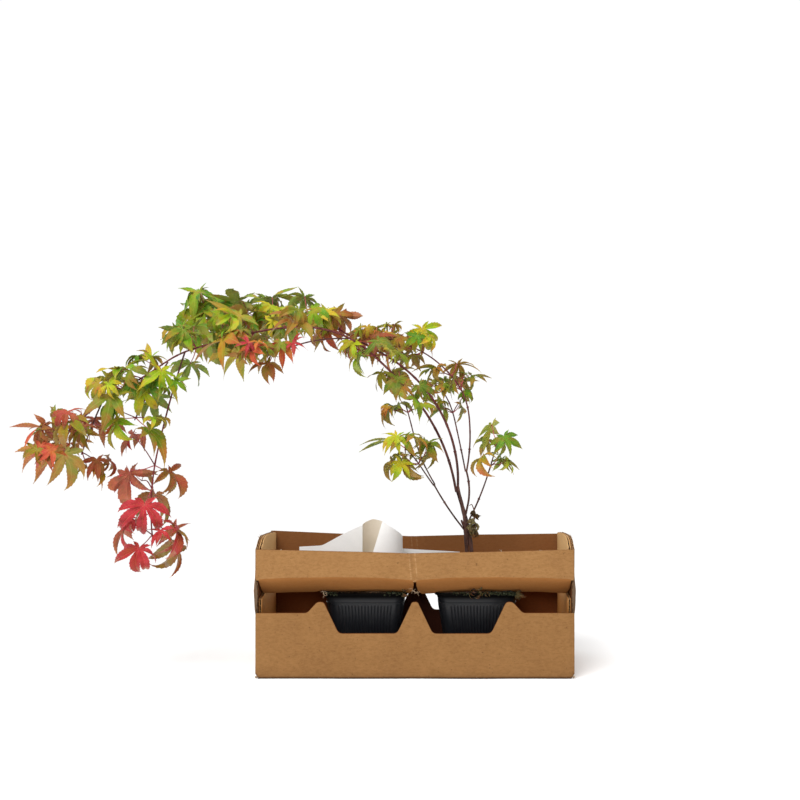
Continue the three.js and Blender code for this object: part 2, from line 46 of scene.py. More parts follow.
# A white studio: bright to a little above the horizon, dimmer overhead, one soft light from the left
SKY = {"band": (0.3, 0.6), "low": 1.02, "top": 0.75}
KEY = {"spot": (-0.6, -1.2, 1.8), "aim": (0, 0, 0.15), "size": 1.2, "power": 40}
FLOOR = {"radius": 0.85, "y": -0.1}  # in metres: beyond it the white round about shows
GLOW = 0.12  # how much the floor gives off by itself, which leaves only the deepest shadow
CAMERA = {"spot": (0.022, -1.47, 0.344), "lens": 57.6, "shift": -35 / 800}

# The carrier, as in the part's source
GAP = 0.3
BOARD = 3
HALF_X = 175
HALF_Y = 70
HEAD = 109
PEAK = 84.5
SILL = 72.5
# Corners of the lower panel's top edge, right of the middle: x, z and how far each is rounded
LONG_EDGE = [(3, PEAK, 2), (19.5, 50, 4.5), (83.5, 50, 4.5), (100, PEAK, 3), (107, PEAK, 3), (118, SILL, 3)]
FLAP_LEAN = 58
FLAP_END = 171
# Corners of a flap's free edge: x, distance below the band's lower edge and rounding
FLAP_EDGE = [(1.5, 10, 0), (3, 26, 2), (7, 37, 3), (96, 37, 3), (100.5, 33, 2), (106, 33, 2), (110, 37, 3),
             (169, 37, 2), (FLAP_END, 24, 0)]
# Heights of the two bands' top edges along their length: the board has gone soft and sags
BAND_TOPS = {
    "front": [(-175, 142), (-90, 140), (-8, 137.8), (80, 139.2), (175, 142)],
    "back": [(-175, 145), (-90, 141.2), (-8, 138.2), (80, 140.2), (175, 141.4)],
}
# How far the band's lower fold lies above or below its even height
FOLD_SAG = [(0, -2.8), (4, -1.6), (40, 1), (90, 1.5), (140, 0.8), (175, -0.8)]
LINER_INSET = 3.6
FOOT_TOP = 5  # where the liners stand, above the base
# Heights of the short sides' top edges by y: they stand proud of the long sides near the front
END_TOPS = [(-70, 141), (-62, 143), (-48, 149), (-30, 152), (20, 148), (64, 144), (70, 143)]
BELLY = {"height": 95, "reach": 13, "depth": 1.8}  # how the short sides bulge outwards
# Half the liners' width by height, with the notches that let the flaps in
LINER_SIDES = [(FOOT_TOP, 64), (87, 64), (88.5, 31), (110, 63.5)]
# Torn places: along a long side seen from outside, along a short side, and along the band's front edge
TEARS = [(-101, 95, 6, 4), (-100, 91, 4, 3), (-3, 97, 6, 5), (3, 94, 5, 4)]  # x, height, fibres, length
TEAR_Y = 61.0
FIBRE_RADII = [0.24, 0.18, 0.1]
END_TEARS = [(-34, 150), (-28, 151), (-22, 150.5)]
CHIPS = [-147, -60, 95, 138]
CRUMBLED = (173.6, -69, 2.6)  # the foot of the front corners
# The lenses of board that bulge at the corners: how proud they stand, and their least and most width
LENS = {"proud": 1.3, "least": 2, "most": 5}
# How board is marked: sound and outside, the corner lenses darkened with painted shade, the wave, torn,
# folded in, inside, and the liners
SOUND, LENS_SHADE, WAVE, TORN, FOLDED, INNER, LINER = range(7)
# The band's crease: where its middle would meet the ground, how it leans back, half its width, and
# the dip at its left edge with the ridge beside it, each as its height and its reach
CREASE = {"x": 9.1, "lean": 0.09, "half": 3.2, "dip": (0.6, 1.8), "ridge": (0.5, 2), "apart": 4}
FOLD = 3.5  # radius of the folds at the bottom and the corners
FLAP_FOLD = 2.5
PAPER = 0.45  # thickness of one liner paper
FLUTE = 6.4  # pitch of the corrugation
FLUTE_HALF = 0.15  # half the thickness of the wavy paper
WRAP = HALF_X - FOLD + FOLD * math.pi / 2  # half a long side's length, with its corner
TANGENT = FLAP_FOLD * math.tan(math.radians(FLAP_LEAN) / 2)
FOLD_TOP = HEAD + TANGENT
FOLD_END = FOLD * math.pi / 2
# The board's tones, then each marked kind's tint after how strongly it shows
BOARD_TONES = {
    "cloud": [(0, (0.228, 0.108, 0.033)), (0.5, (0.25, 0.121, 0.037)), (1, (0.272, 0.134, 0.043))],
    "fibre": (0.37, 0.195, 0.075),
    "hollow": (0.15, 0.06, 0.016),
    "speck": (0.1, 0.04, 0.012),
    # painted shade: the board below the band is made darker than the band
    "painted shade below band": (0.86, 0.84, 0.8),
    # painted shadow: a dark contact line along the bottom fold, where the board meets the floor
    "foot": (0.14, 0.09, 0.06),
    # painted shade: the inside faces are made darker low down
    "painted shade deep inside": (0.7, 0.45, 0.2),
    # painted shade: the inside faces between the pots are made darker still
    "painted shade between pots": (0.3, 0.22, 0.3),
    "rubbed": (0.48, 0.3, 0.15),
}
BOARD_KINDS = {
    # painted shade: the corner lenses are tinted dark grey-brown
    LENS_SHADE: (0.8, (0.09, 0.06, 0.04)),
    WAVE: (0.6, (0.42, 0.26, 0.13)),
    TORN: (0.7, (0.42, 0.33, 0.24)),
    # painted warm bounce light: the flaps' shaded faces are tinted a warmer, lighter orange
    FOLDED: (0.6, (0.335, 0.117, 0.021)),
    # painted shade and warm bounce light: the inside faces are tinted darker and redder
    INNER: (0.55, (0.221, 0.064, 0.015)),
    # painted light: the liners' faces are tinted bright and warm, as if lit
    LINER: (0.85, (0.78, 0.48, 0.2)),
}

# The pots and the compost
FOOT = BOARD + GAP
POT = {"rim": 47.5, "body": 45, "foot": 31, "height": 87, "lip": 3, "wall": 1.2, "corner": 11}
POT_X = {"left": -56, "right": 69}
RIB = {"count": 18, "depth": 1, "low": 7, "high": 75, "line": 77.5}
# The lumps of the compost's top are as high as the first number and as wide as the second
COMPOST = {"top": 79, "gap": 1.8, "crumbs": 620, "crumb": (0.8, 2.6), "lumps": (1.3, 14), "small": (0.5, 4)}
CRUMB_FACES = [[0, 2, 4], [2, 1, 4], [1, 3, 4], [3, 0, 4], [2, 0, 5], [1, 2, 5], [3, 1, 5], [0, 3, 5]]
# Moss along the front of a pot's rim: from where to where beside its middle, and how many crumbs
MOSS = [("right", 12, 46, 150), ("right", -30, 12, 40), ("left", 20, 46, 60), ("left", -46, -30, 25)]
DRY_TWIG = [(68, -5, 150), (67.5, -6, 157), (66, -6, 165), (68, -5, 172), (66, -5, 180), (63.5, -5, 184.5),
            (61.5, -5, 183)]
# Dead leaves, at the trunk's fork and on the rims: place, then the climb and bearing of the middle
# lobe, and size
DEAD_LEAVES = [
    (66.5, -5, 178, -75, 190, 11), (67.5, -5.5, 174, -65, -10, 12), (65.5, -6, 169, -70, 200, 12),
    (67.5, -6, 165, -75, 10, 14), (66, -7, 161, -60, 190, 12), (67, -6, 157, -65, -20, 13),
    (63, -7, 163, -85, 170, 13), (64, -7.5, 157, -80, 0, 11),
    (62, -46, 92, -20, -100, 10), (71, -46, 92.5, -30, -60, 11), (79, -46, 92, -25, -110, 9),
    (113, -50, 89, -15, -30, 12), (-14, -46, 92, -30, -80, 9),
]

# The label
LABEL = {"thick": 0.3, "start": (-134, 2), "curled": 62}
CURL = {"x": -37, "y": 8, "start": 175, "end": -105, "wide": 25, "narrow": 19, "shear": 0.3}
# Heights of the sheet's top edge: by x up to the curl, then by the share of the curl's turn
RUN_TOPS = [(-134, 135), (-108, 136), (-82, 150), (-62, 159)]
CURL_TOPS = [(0, 159), (0.18, 164), (0.28, 161), (0.38, 150), (0.55, 144), (0.63, 146), (0.72, 151),
             (0.82, 157), (0.9, 161.5), (1, 166)]
STRIP = [(-60, 36, 131), (-15, 33, 128.5), (51, 30, 125)]

# The trunk: lean, height and radius at each station, and how the two strands part and twist
TRUNK_X = 62
STATIONS = [(0.5, 79.3, 8.5), (0.5, 84, 6.3), (0, 96, 5.3), (-0.5, 118, 4.9), (-1, 134, 4.8), (-3, 155, 4.9),
            (-5, 167, 4.2), (-9, 183, 2.7), (-13, 197, 2.5), (-15, 204, 3)]
STRAND_PART = [(79, 2), (96, 2.4), (118, 2.6), (134, 2.6), (155, 1.7), (183, 1.1), (197, 1.1), (204, 1.6)]
TWIST = {"start": 134, "rise": 70}  # the strands lie side by side here, and turn half round over the rise
STRAND = {"least": 1.45, "sides": 22}
# A limb's joints: how far apart they are, how much they swell, over what reach, and its buds' radii
JOINTS = {"apart": (22, 44), "swell": 0.22, "reach": 1.4, "bud": [0.6, 0.5, 0.15]}
STUB = [(56.5, -1, 158), (54, -2, 162), (52.2, -2.6, 166)]  # an old shoot on the left


class Spray(NamedTuple):
    """A spray's leaves: how many pairs, their size, how far they rise, the seed of their rule and
    their tint. Bare is the share of the stem before the first pair, droop the least angle that a
    blade hangs at, and wilt how wilted it is at least. In a thin spray one leaf of each pair has
    no side twig."""
    pairs: int
    leaf: float
    lift: float
    seed: int
    tint: str
    bare: float = 0.14
    droop: float = 12
    wilt: float = 0
    thin: bool = False


# The limbs, as in the part's source. A limb is its start, its first climb and bearing, its two radii
# with the redness of its young wood, and its stretches: node, length, bend, swing and any spray. A
# start is the parent, the share of its length, how far aside the limb leaves its tip, or None where
# it leaves its side, and how far it is moved in.
LIMBS = [
    (("trunk", 1, 1.65, 0), 92, 178, (1.5, 0.9, 0.5), [
        ("bough_a_low", 84, -29, 0),
        ("bough_a_high", 98, -34, -6),
        ("leaves_a_saddle", 60, -1, -4, Spray(2, 36, 0.9, 32, "amber")),
        ("leaves_a_crest", 72, -30, 2, Spray(3, 40, 0.9, 552, "olive")),
        ("leaves_a_tip", 74, -19, 6, Spray(4, 50, 0.9, 877, "green")),
    ]),
    (("trunk", 1, -1.65, 0), 80, 190, (1.5, 0.7, 0.55), [
        ("bough_b_low", 128, -33, 2),
        ("leaves_b_shoulder", 56, -5, 2, Spray(2, 34, 0.6, 675, "olive")),
        ("bough_b_high", 86, -42, 2),
        ("leaves_b_crown", 58, -14, 0, Spray(2, 42, 0.6, 477, "green")),
        ("leaves_b_fork", 66, -3, 0, Spray(2, 38, 0.5, 206, "green", bare=0.3)),
        ("bough_b_far", 34, -18, 0),
        ("leaves_b_gold", 56, 5, 0, Spray(3, 38, 0.5, 562, "olive")),
        ("bough_b_end", 46, -13, 0),
        ("leaves_b_tip", 50, 3, -16, Spray(3, 36, 0.3, 70, "ember")),
    ]),
    (("bough_b_high", 0.36, None, 0), 2, 218, (0.9, 0.7, 0.8), [
        ("bough_spur", 72, -20, -8),
        ("leaves_spur", 38, 12, 0, Spray(3, 30, 0.2, 785, "ember")),
    ]),
    (("bough_b_far", 0.3, None, 0), -72, 192, (1, 0.8, 1), [
        ("bough_hang", 112, -6, 0),
        ("leaves_hang", 92, -18, 0, Spray(4, 40, 0, 589, "red", droop=32, wilt=0.8, thin=True)),
    ]),
    (("bough_b_far", 0.85, None, 0), -56, 205, (0.9, 0.7, 0.8), [
        ("leaves_sag", 70, -8, 0, Spray(2, 36, 0, 162, "green", bare=0.45)),
    ]),
    (("bough_b_end", 0.5, None, 0), -53, 140, (0.9, 0.7, 0.8), [
        ("leaves_drop", 66, -8, 0, Spray(2, 34, 0, 5, "ember", bare=0.4)),
    ]),
    (("trunk", 0.72, None, 1.9), 107, 150, (1.2, 1.1, 0.1), [("bough_d", 46, -36, 0)]),
    (("bough_d", 1, 1.1, 0), 102, 148, (1, 0.7, 0.6), [
        ("bough_d_tall", 62, -19, 0),
        ("leaves_d_low", 44, -35, 0, Spray(1, 30, 0.6, 695, "olive")),
        ("leaves_d_bend", 60, -24, 0, Spray(2, 32, 0.8, 681, "green")),
        ("leaves_d_tip", 68, -18, 0, Spray(3, 34, 0.8, 791, "amber")),
    ]),
    (("bough_d", 1, -1.1, 0), 75, 135, (0.9, 0.7, 0.4), [
        ("bough_d_short", 62, -3, 0),
        ("leaves_d_short", 42, -32, 0, Spray(2, 26, 0.5, 511, "green")),
    ]),
    (("trunk", 0.64, None, 1), 62, -24, (1, 0.7, 0.2), [
        ("bough_e", 62, 10, 0),
        ("leaves_e", 34, 2, 0, Spray(2, 30, 0.9, 385, "green", thin=True)),
    ]),
    (("trunk", 0.56, None, 0), 49, 208, (1, 0.9, 0.1), [("bough_f", 64, 10, 0)]),
    (("bough_f", 1, -1, 0), 50, 216, (0.8, 0.7, 0.25), [
        ("bough_f_low", 26, 2, 0),
        ("leaves_f_low", 32, -13, 0, Spray(2, 36, 0.8, 577, "olive")),
    ]),
    (("bough_f", 1, 1, 0), 58, 196, (0.8, 0.7, 0.25), [
        ("bough_f_high", 64, 18, 0),
        ("leaves_f_high", 32, -3, 0, Spray(1, 32, 0.8, 329, "green")),
    ]),
]

# The leaf rule, as in the part's source: a pair is the least value and what chance adds to it, and
# a single number is what chance adds, or how far a blade turns outward. Then come the shares of the
# stem where a lone pair and the last pair sit, and how far each pair is turned from the one before.
LEAF = {"size": (0.8, 0.35), "spread": (45, 30), "stalk": (0.45, 0.35), "rise": 0.3, "outward": 0.3,
        "droop": 58, "roll": 70, "curl": (0.1, 0.25), "lone": 0.7, "last": 0.96, "turn": (90, 30)}
# One leaf: each lobe's turn from the middle one, its length, its swell, and its teeth on one side
LOBES = [(0, 1.14, 0.125, 10), (43, 1.08, 0.12, 10), (86, 0.84, 0.09, 8), (127, 0.4, 0.04, 4)]
CUTS = [0.15, 0.13, 0.09, 0.04]  # how far out the leaf is cut beyond each lobe
BLADE = {"half": 0.13, "tooth": 0.024}
STALK = {"radius": 0.5, "sides": 6}
TWIG = {"length": (0.3, 0.7), "leaf": (0.45, 0.75), "teeth": 0.6, "radii": [0.7, 0.6, 0.5]}
DEAD = {"teeth": 0.35, "opening": 0.4}  # dead leaves have few teeth, and those at the fork are shut

# Which tints the leaves of a spray may take
TINTS = {
    "green": ("green", "green", "green", "moss", "lime", "olive"),
    "olive": ("olive", "moss", "green", "lime", "moss"),
    "amber": ("amber", "olive", "moss", "lime", "brick"),
    "ember": ("ember", "amber", "brick", "moss", "red"),
    "red": ("red", "brick", "red"),
}
# Each tint: its slot, the tones it drifts through, its tips, its veins and how far the tips' tone reaches
LEAVES = {
    "green": ("green", [(0.035, 0.13, 0.002), (0.09, 0.235, 0.004), (0.2, 0.29, 0.007), (0.34, 0.2, 0.014)],
              (0.26, 0.09, 0.012), (0.26, 0.34, 0.04), 0.4),
    "moss": ("green", [(0.07, 0.13, 0.004), (0.15, 0.19, 0.006), (0.26, 0.18, 0.012), (0.3, 0.09, 0.014)],
             (0.28, 0.07, 0.016), (0.28, 0.28, 0.06), 0.7),
    "lime": ("olive", [(0.12, 0.28, 0.004), (0.28, 0.38, 0.006), (0.46, 0.38, 0.01), (0.46, 0.22, 0.014)],
             (0.42, 0.15, 0.014), (0.44, 0.44, 0.06), 0.5),
    "olive": ("olive", [(0.1, 0.18, 0.005), (0.24, 0.22, 0.008), (0.36, 0.19, 0.014), (0.36, 0.09, 0.016)],
              (0.34, 0.07, 0.018), (0.36, 0.32, 0.06), 0.75),
    "amber": ("amber", [(0.2, 0.22, 0.008), (0.4, 0.22, 0.012), (0.48, 0.14, 0.016), (0.44, 0.06, 0.018)],
              (0.4, 0.06, 0.02), (0.5, 0.34, 0.07), 0.65),
    "ember": ("ember", [(0.3, 0.19, 0.012), (0.46, 0.12, 0.02), (0.44, 0.055, 0.024), (0.36, 0.03, 0.02)],
              (0.38, 0.035, 0.02), (0.54, 0.2, 0.08), 0.6),
    "brick": ("ember", [(0.2, 0.12, 0.016), (0.26, 0.07, 0.02), (0.36, 0.045, 0.026), (0.24, 0.02, 0.02)],
              (0.2, 0.022, 0.014), (0.38, 0.14, 0.07), 0.6),
    "red": ("red", [(0.28, 0.04, 0.016), (0.34, 0.018, 0.022), (0.46, 0.03, 0.045), (0.2, 0.012, 0.02)],
            (0.2, 0.012, 0.014), (0.5, 0.1, 0.08), 0.5),
}
DRY_LEAF = ([(0.03, 0.018, 0.008), (0.07, 0.045, 0.016), (0.09, 0.075, 0.025)],
            (0.12, 0.03, 0.014), (0.12, 0.08, 0.03), 0.6)

UP = np.array([0.0, 0.0, 1.0])
ACROSS = np.array([1.0, 0.0, 0.0])


# Points and meshes
def xyz(x, y, z):
    """Points from their coordinates, each a number or a grid of numbers."""
    return np.stack(np.broadcast_arrays(x, y, z), -1).astype(float)


def unit(v):
    return v / np.linalg.norm(v, axis=-1, keepdims=True)


def between(first, second, angle):
    """The direction that lies an angle in radians from the first towards the second."""
    return first * math.cos(angle) + second * math.sin(angle)


def reader(table, column=1, by=0):
    """A function that reads a column of the table at any place between its marks."""
    marks = np.array(table, float)
    return lambda at: np.interp(at, marks[:, by], marks[:, column])


def hump(distance, reach):
    """1 at no distance and little beyond the reach."""
    return np.exp(-(distance / reach) ** 2)


def ripples(seed, size, waves=9):
    """A smooth uneven field from -1 to 1 whose humps are about the given size."""
    draw = np.random.default_rng(seed)
    ways = unit(draw.normal(size=(waves, 3))) * (2 * np.pi / size) * draw.uniform(0.5, 1.4, (waves, 1))
    shifts = draw.uniform(0, 2 * np.pi, waves)
    return lambda p: np.sin(np.asarray(p) @ ways.T + shifts).mean(-1) * 1.6


def add_object(name, data):
    made = bpy.data.objects.new(name, data)
    bpy.context.scene.collection.objects.link(made)
    return made


class Batch:
    """Gathers surfaces that become one joined mesh. A mark is three numbers for the material."""

    def __init__(self):
        self.vertices = []
        self.marks = []
        self.faces = []
        self.count = 0

    def add(self, vertices, faces, marks):
        vertices = np.asarray(vertices, float).reshape(-1, 3)
        faces = faces.tolist() if isinstance(faces, np.ndarray) else faces
        self.vertices.append(vertices)
        self.marks.append(np.broadcast_to(np.asarray(marks, float), vertices.shape))
        self.faces.extend([[i + self.count for i in face] for face in faces])
        self.count += len(vertices)

    def build(self, name, material, slot, replaced=(), sharp=40):
        """Welds what meets, makes the object, hangs it under the root body and hides the parts it replaces.
        """
        vertices = np.concatenate(self.vertices)
        marks = np.concatenate(self.marks)
        _, keep, welded = np.unique(
            np.round(vertices * 1000).astype(np.int64), axis=0, return_index=True, return_inverse=True)
        welded = welded.reshape(-1)
        faces, corners = [], []
        for face in self.faces:
            ring = [i for k, i in enumerate(face) if welded[i] != welded[face[k - 1]]]
            if len({welded[i] for i in ring}) == len(ring) >= 3:
                faces.append([int(welded[i]) for i in ring])
                corners.extend(ring)
        mesh = bpy.data.meshes.new(name)
        mesh.from_pydata((vertices[keep] * MM).tolist(), [], faces)
        attribute = mesh.attributes.new("mark", "FLOAT_VECTOR", "CORNER")
        attribute.data.foreach_set("vector", marks[corners].astype(np.float32).ravel())
        shaped = bmesh.new()
        shaped.from_mesh(mesh)
        bmesh.ops.recalc_face_normals(shaped, faces=shaped.faces)
        shaped.to_mesh(mesh)
        shaped.free()
        mesh.shade_smooth()
        mesh.set_sharp_from_angle(angle=math.radians(sharp))
        mesh.materials.append(material)
        piece = add_object(name, mesh)
        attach(piece, "root")
        if replaced:
            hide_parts(*replaced)


def grid_faces(rows, columns, around=False):
    """Quads of a grid whose points are counted row by row. Around closes each row on itself."""
    across = np.arange(columns if around else columns - 1)
    down = np.arange(rows - 1)[:, None] * columns
    after = (across + 1) % columns
    quads = [down + across, down + after, down + columns + after, down + columns + across]
    return np.stack(quads, -1).reshape(-1, 4)


def whole_rim(index):
    """All the edges round a grid of point numbers: their first ends, then their other ends."""
    rim = np.concatenate([index[0, :-1], index[:-1, -1], index[-1, :0:-1], index[:0:-1, 0]])
    return [(rim, np.roll(rim, -1))]


def plate(batch, outer, inner, marks, inner_marks=None, rims=whole_rim):
    """A plate between two grids of points, with marks for each point, closed along its rims."""
    rows, columns = outer.shape[:2]
    size = rows * columns
    quads = grid_faces(rows, columns)
    edges = rims(np.arange(size).reshape(rows, columns))
    sides = [np.stack([a, b, b + size, a + size], -1) for a, b in edges]
    marks = [marks, marks if inner_marks is None else inner_marks]
    batch.add([outer, inner], np.concatenate([quads, quads[:, ::-1] + size, *sides]),
              np.reshape(marks, (-1, 3)))


def stack(batch, rings, tone):
    """Closes a stack of rings into one body."""
    rows, columns = np.shape(rings)[:2]
    faces = grid_faces(rows, columns, around=True).tolist()
    faces.append(list(range(columns))[::-1])
    faces.append(list(range((rows - 1) * columns, rows * columns)))
    batch.add(rings, faces, tone)


def smooth_line(points, values, step):
    """Points and values on a smooth curve through the given ones, about a step apart."""
    points = np.asarray(points, float)
    lengths = np.linalg.norm(np.diff(points, axis=0), axis=1)
    stops = np.concatenate([[0], np.cumsum(lengths)])
    slopes = np.gradient(points, stops, axis=0)
    at = np.linspace(0, stops[-1], max(4, int(stops[-1] / step)) + 1)
    i = np.clip(np.searchsorted(stops, at, side="right") - 1, 0, len(lengths) - 1)
    span = lengths[i][:, None]
    t = ((at - stops[i]) / lengths[i])[:, None]
    a = (1 + 2 * t) * (1 - t) ** 2
    b = t * (1 - t) ** 2
    c = t * t * (3 - 2 * t)
    d = t * t * (t - 1)
    line = a * points[i] + b * span * slopes[i] + c * points[i + 1] + d * span * slopes[i + 1]
    return line, np.interp(at, stops, values), at


def tube(batch, line, radii, sides, tone, relief=None):
    """A tube along the line with closed ends. Relief gives a swelling for each ring and side."""
    forward = unit(np.gradient(line, axis=0))
    right = np.zeros_like(line)
    guide = np.array([0.0, 1.0, 0.0]) if abs(forward[0][1]) < 0.9 else ACROSS
    for i, way in enumerate(forward):
        guide = unit(guide - way * (guide @ way))
        right[i] = guide
    top = np.cross(forward, right)
    turn = np.linspace(0, 2 * np.pi, sides, endpoint=False)
    reach = np.asarray(radii)[:, None] * (np.ones(sides) if relief is None else relief(line, turn))
    ring = (line[:, None] + right[:, None] * (reach * np.cos(turn))[..., None]
            + top[:, None] * (reach * np.sin(turn))[..., None])
    ends = [line[0] - forward[0] * radii[0] * 0.3, line[-1] + forward[-1] * radii[-1] * 0.6]
    count = len(line) * sides
    last = count - sides
    faces = grid_faces(len(line), sides, around=True).tolist()
    faces += [[count, (k + 1) % sides, k] for k in range(sides)]
    faces += [[count + 1, last + k, last + (k + 1) % sides] for k in range(sides)]
    tones = np.broadcast_to(np.asarray(tone, float), (len(line),))
    marks = xyz(turn, np.arange(len(line))[:, None], tones[:, None]).reshape(-1, 3)
    end_marks = [(0, 0, tones[0]), (0, 0, tones[-1])]
    batch.add(np.concatenate([ring.reshape(-1, 3), ends]), faces, np.concatenate([marks, end_marks]))


def rod(batch, points, radii, step, sides, tone):
    """A tube along a smooth curve through the points."""
    line, radii, _ = smooth_line(points, radii, step)
    tube(batch, line, radii, sides, tone)


def around(spots, turn, reach=1):
    """The places beside the spots towards each turn, where a tube's relief is read."""
    return spots[:, None] + reach * xyz(np.cos(turn), np.sin(turn), 0)[None]


# Materials
class Value:
    """What a shader node gives out. Values add, multiply and compare like numbers."""

    def __init__(self, socket):
        self.socket = socket
        self.tree = socket.id_data

    def maths(self, operation, other=0.0):
        return node(self.tree, "Math", {0: self, 1: other}, operation=operation)

    def __add__(self, other):
        return self.maths("ADD", other)

    def __sub__(self, other):
        return self.maths("SUBTRACT", other)

    def __mul__(self, other):
        return self.maths("MULTIPLY", other)

    def __gt__(self, other):
        return self.maths("GREATER_THAN", other)

    def __abs__(self):
        return self.maths("ABSOLUTE")

    def to(self, low, high, start=0.0, end=1.0):
        """The value from low to high, taken to the range from start to end and held there."""
        inputs = {"Value": self, "From Min": low, "From Max": high, "To Min": start, "To Max": end}
        return node(self.tree, "MapRange", inputs, clamp=True)


def fill(socket, value):
    """Links a value to the socket, or sets the socket to a colour or a number."""
    if isinstance(value, Value):
        value.tree.links.new(value.socket, socket)
    elif socket.type == "RGBA":
        socket.default_value = (*value, 1)
    else:
        socket.default_value = value


def node(tree, kind, inputs=None, output=0, **settings):
    """Adds a shader node and returns one of its outputs."""
    made = tree.nodes.new("ShaderNode" + kind)
    for key, value in settings.items():
        setattr(made, key, value)
    for key, value in (inputs or {}).items():
        fill(made.inputs[key], value)
    return Value(made.outputs[output])


def split(vector):
    """The three parts of a vector."""
    first = node(vector.tree, "SeparateXYZ", {0: vector})
    return [Value(socket) for socket in first.socket.node.outputs]


def stretched(place, along_z):
    return node(place.tree, "Mapping", {"Vector": place, "Scale": (1, 1, along_z)})


def noise(place, scale, detail=3.0, roughness=0.55):
    inputs = {"Vector": place, "Scale": scale, "Detail": detail, "Roughness": roughness}
    return node(place.tree, "TexNoise", inputs)


def blend(share, first, second, mode="MIX"):
    """From the first colour to the second by the share. The node takes them at inputs 6 and 7."""
    inputs = {"Factor": share, 6: first, 7: second}
    return node(share.tree, "Mix", inputs, 2, data_type="RGBA", blend_type=mode)


def ramp(value, stops):
    made = node(value.tree, "ValToRGB", {"Fac": value})
    elements = made.socket.node.color_ramp.elements
    while len(elements) < len(stops):
        elements.new(0.5)
    for element, (at, colour) in zip(elements, stops):
        element.position = at
        element.color = (*colour, 1)
    return made


def material(name):
    """A new material with its place in the object and the three parts of the mesh's marks."""
    made = bpy.data.materials.new(name)
    made.use_nodes = True
    place = node(made.node_tree, "TexCoord", output="Object")
    return made, place, split(node(made.node_tree, "Attribute", output="Vector", attribute_name="mark"))


def surface(made, base, roughness, specular, relief=None, more=None):
    """Fills in the material's shader. Relief is a height, its strength and its depth in metres."""
    shader = made.node_tree.nodes["Principled BSDF"]
    inputs = {"Base Color": base, "Roughness": roughness, "Specular IOR Level": specular, **(more or {})}
    if relief:
        height, strength, depth = relief
        bump = {"Height": height, "Strength": strength, "Distance": depth}
        inputs["Normal"] = node(height.tree, "Bump", bump)
    for key, value in inputs.items():
        fill(shader.inputs[key], value)
    return made


def board_material(tone, kinds):
    """Brown kraft board: cloudy, with short fibres, dark specks and the faint lines of the flutes.
    Kinds are the tints of marked board and how strongly they show."""
    made, place, (along, _, mark) = material("kraft_board")
    x, _, height = split(place)
    long_place = stretched(place, 2.4)
    fibre = noise(long_place, 900, 3, 0.7)
    mottle = noise(long_place, 210, 6, 0.75)
    base = ramp(noise(place, 28, 4).to(0.3, 0.7), tone["cloud"])
    base = blend(mottle.to(0.42, 0.65, 0, 0.3), base, tone["fibre"])
    base = blend(mottle.to(0.33, 0.5, 0.3, 0), base, tone["hollow"])
    base = blend(fibre.to(0.45, 0.75, 0, 0.3), base, tone["fibre"])
    base = blend(noise(place, 420, 2).to(0.68, 0.74, 0, 0.6), base, tone["speck"])
    for kind, (share, tint) in kinds.items():
        base = blend(mark.maths("COMPARE", kind) * share, base, tint)
    inside = mark > INNER - 0.5
    between_pots = abs(x - 0.006).to(0.022, 0.04, 1, 0)
    shades = {
        # painted shade: darker below the band
        "painted shade below band": height.to(0.08, 0.1, 1, 0),
        # painted shadow: the contact line along the bottom fold
        "foot": height.to(0.0006, 0.0034, 1, 0),
        # painted shade: inside faces darker low down
        "painted shade deep inside": inside * height.to(0.07, 0.12, 1, 0),
        # painted shade: darker between the pots, where the pots shade the board
        "painted shade between pots": inside * between_pots * height.to(0.075, 0.09, 1, 0),
    }
    for key, shade in shades.items():
        base = blend(shade, base, tone[key], "MULTIPLY")
    aside = abs(x + height * CREASE["lean"] - CREASE["x"] * MM)
    beside = abs(aside - CREASE["half"] * MM)
    rubbed = beside.to(0.0002, 0.001, 0.5, 0) * height.to(0.108, 0.111) * mottle.to(0.4, 0.65)
    base = blend(rubbed, base, tone["rubbed"])
    flute = (along * (2 * math.pi / FLUTE)).maths("SINE")
    return surface(made, base, 0.82, 0.25, (fibre * 0.25 + flute * 0.12, 0.5, 0.0004))


def plastic_material():
    """Black moulded plastic with a soft sheen, a fine grain, dried dust and a dull, dark top: partly soil,
    partly painted shadow under the flaps.
    """
    made, place, _ = material("pot_plastic")
    dust = noise(place, 55, 6, 0.7).to(0.55, 0.8)
    # the top is darkened partly by soil and partly by painted shadow under the flaps
    soil_and_shadow = split(place)[2].to(0.081, 0.0855)
    base = blend(dust * 0.25, (0.0092, 0.01, 0.0122), (0.045, 0.045, 0.04))
    base = blend(soil_and_shadow * 0.9, base, (0.0025, 0.002, 0.0016))
    rough = dust.to(0, 1, 0.36, 0.62).maths("MAXIMUM", soil_and_shadow * 0.85)
    return surface(made, base, rough, soil_and_shadow.to(0, 1, 0.35, 0.04), (noise(place, 1400, 2), 0.25, 0.0002))


def compost_material(name, dark, middle, light):
    """Crumbs of bark and peat: each takes its own brown from its mark."""
    made, place, (_, _, mark) = material(name)
    grit = noise(place, 600, 5, 0.7)
    base = ramp(mark * 0.6 + grit * 0.4, [(0.1, dark), (0.5, middle), (0.95, light)])
    return surface(made, base, 0.95, 0.15, (grit, 0.9, 0.0012))


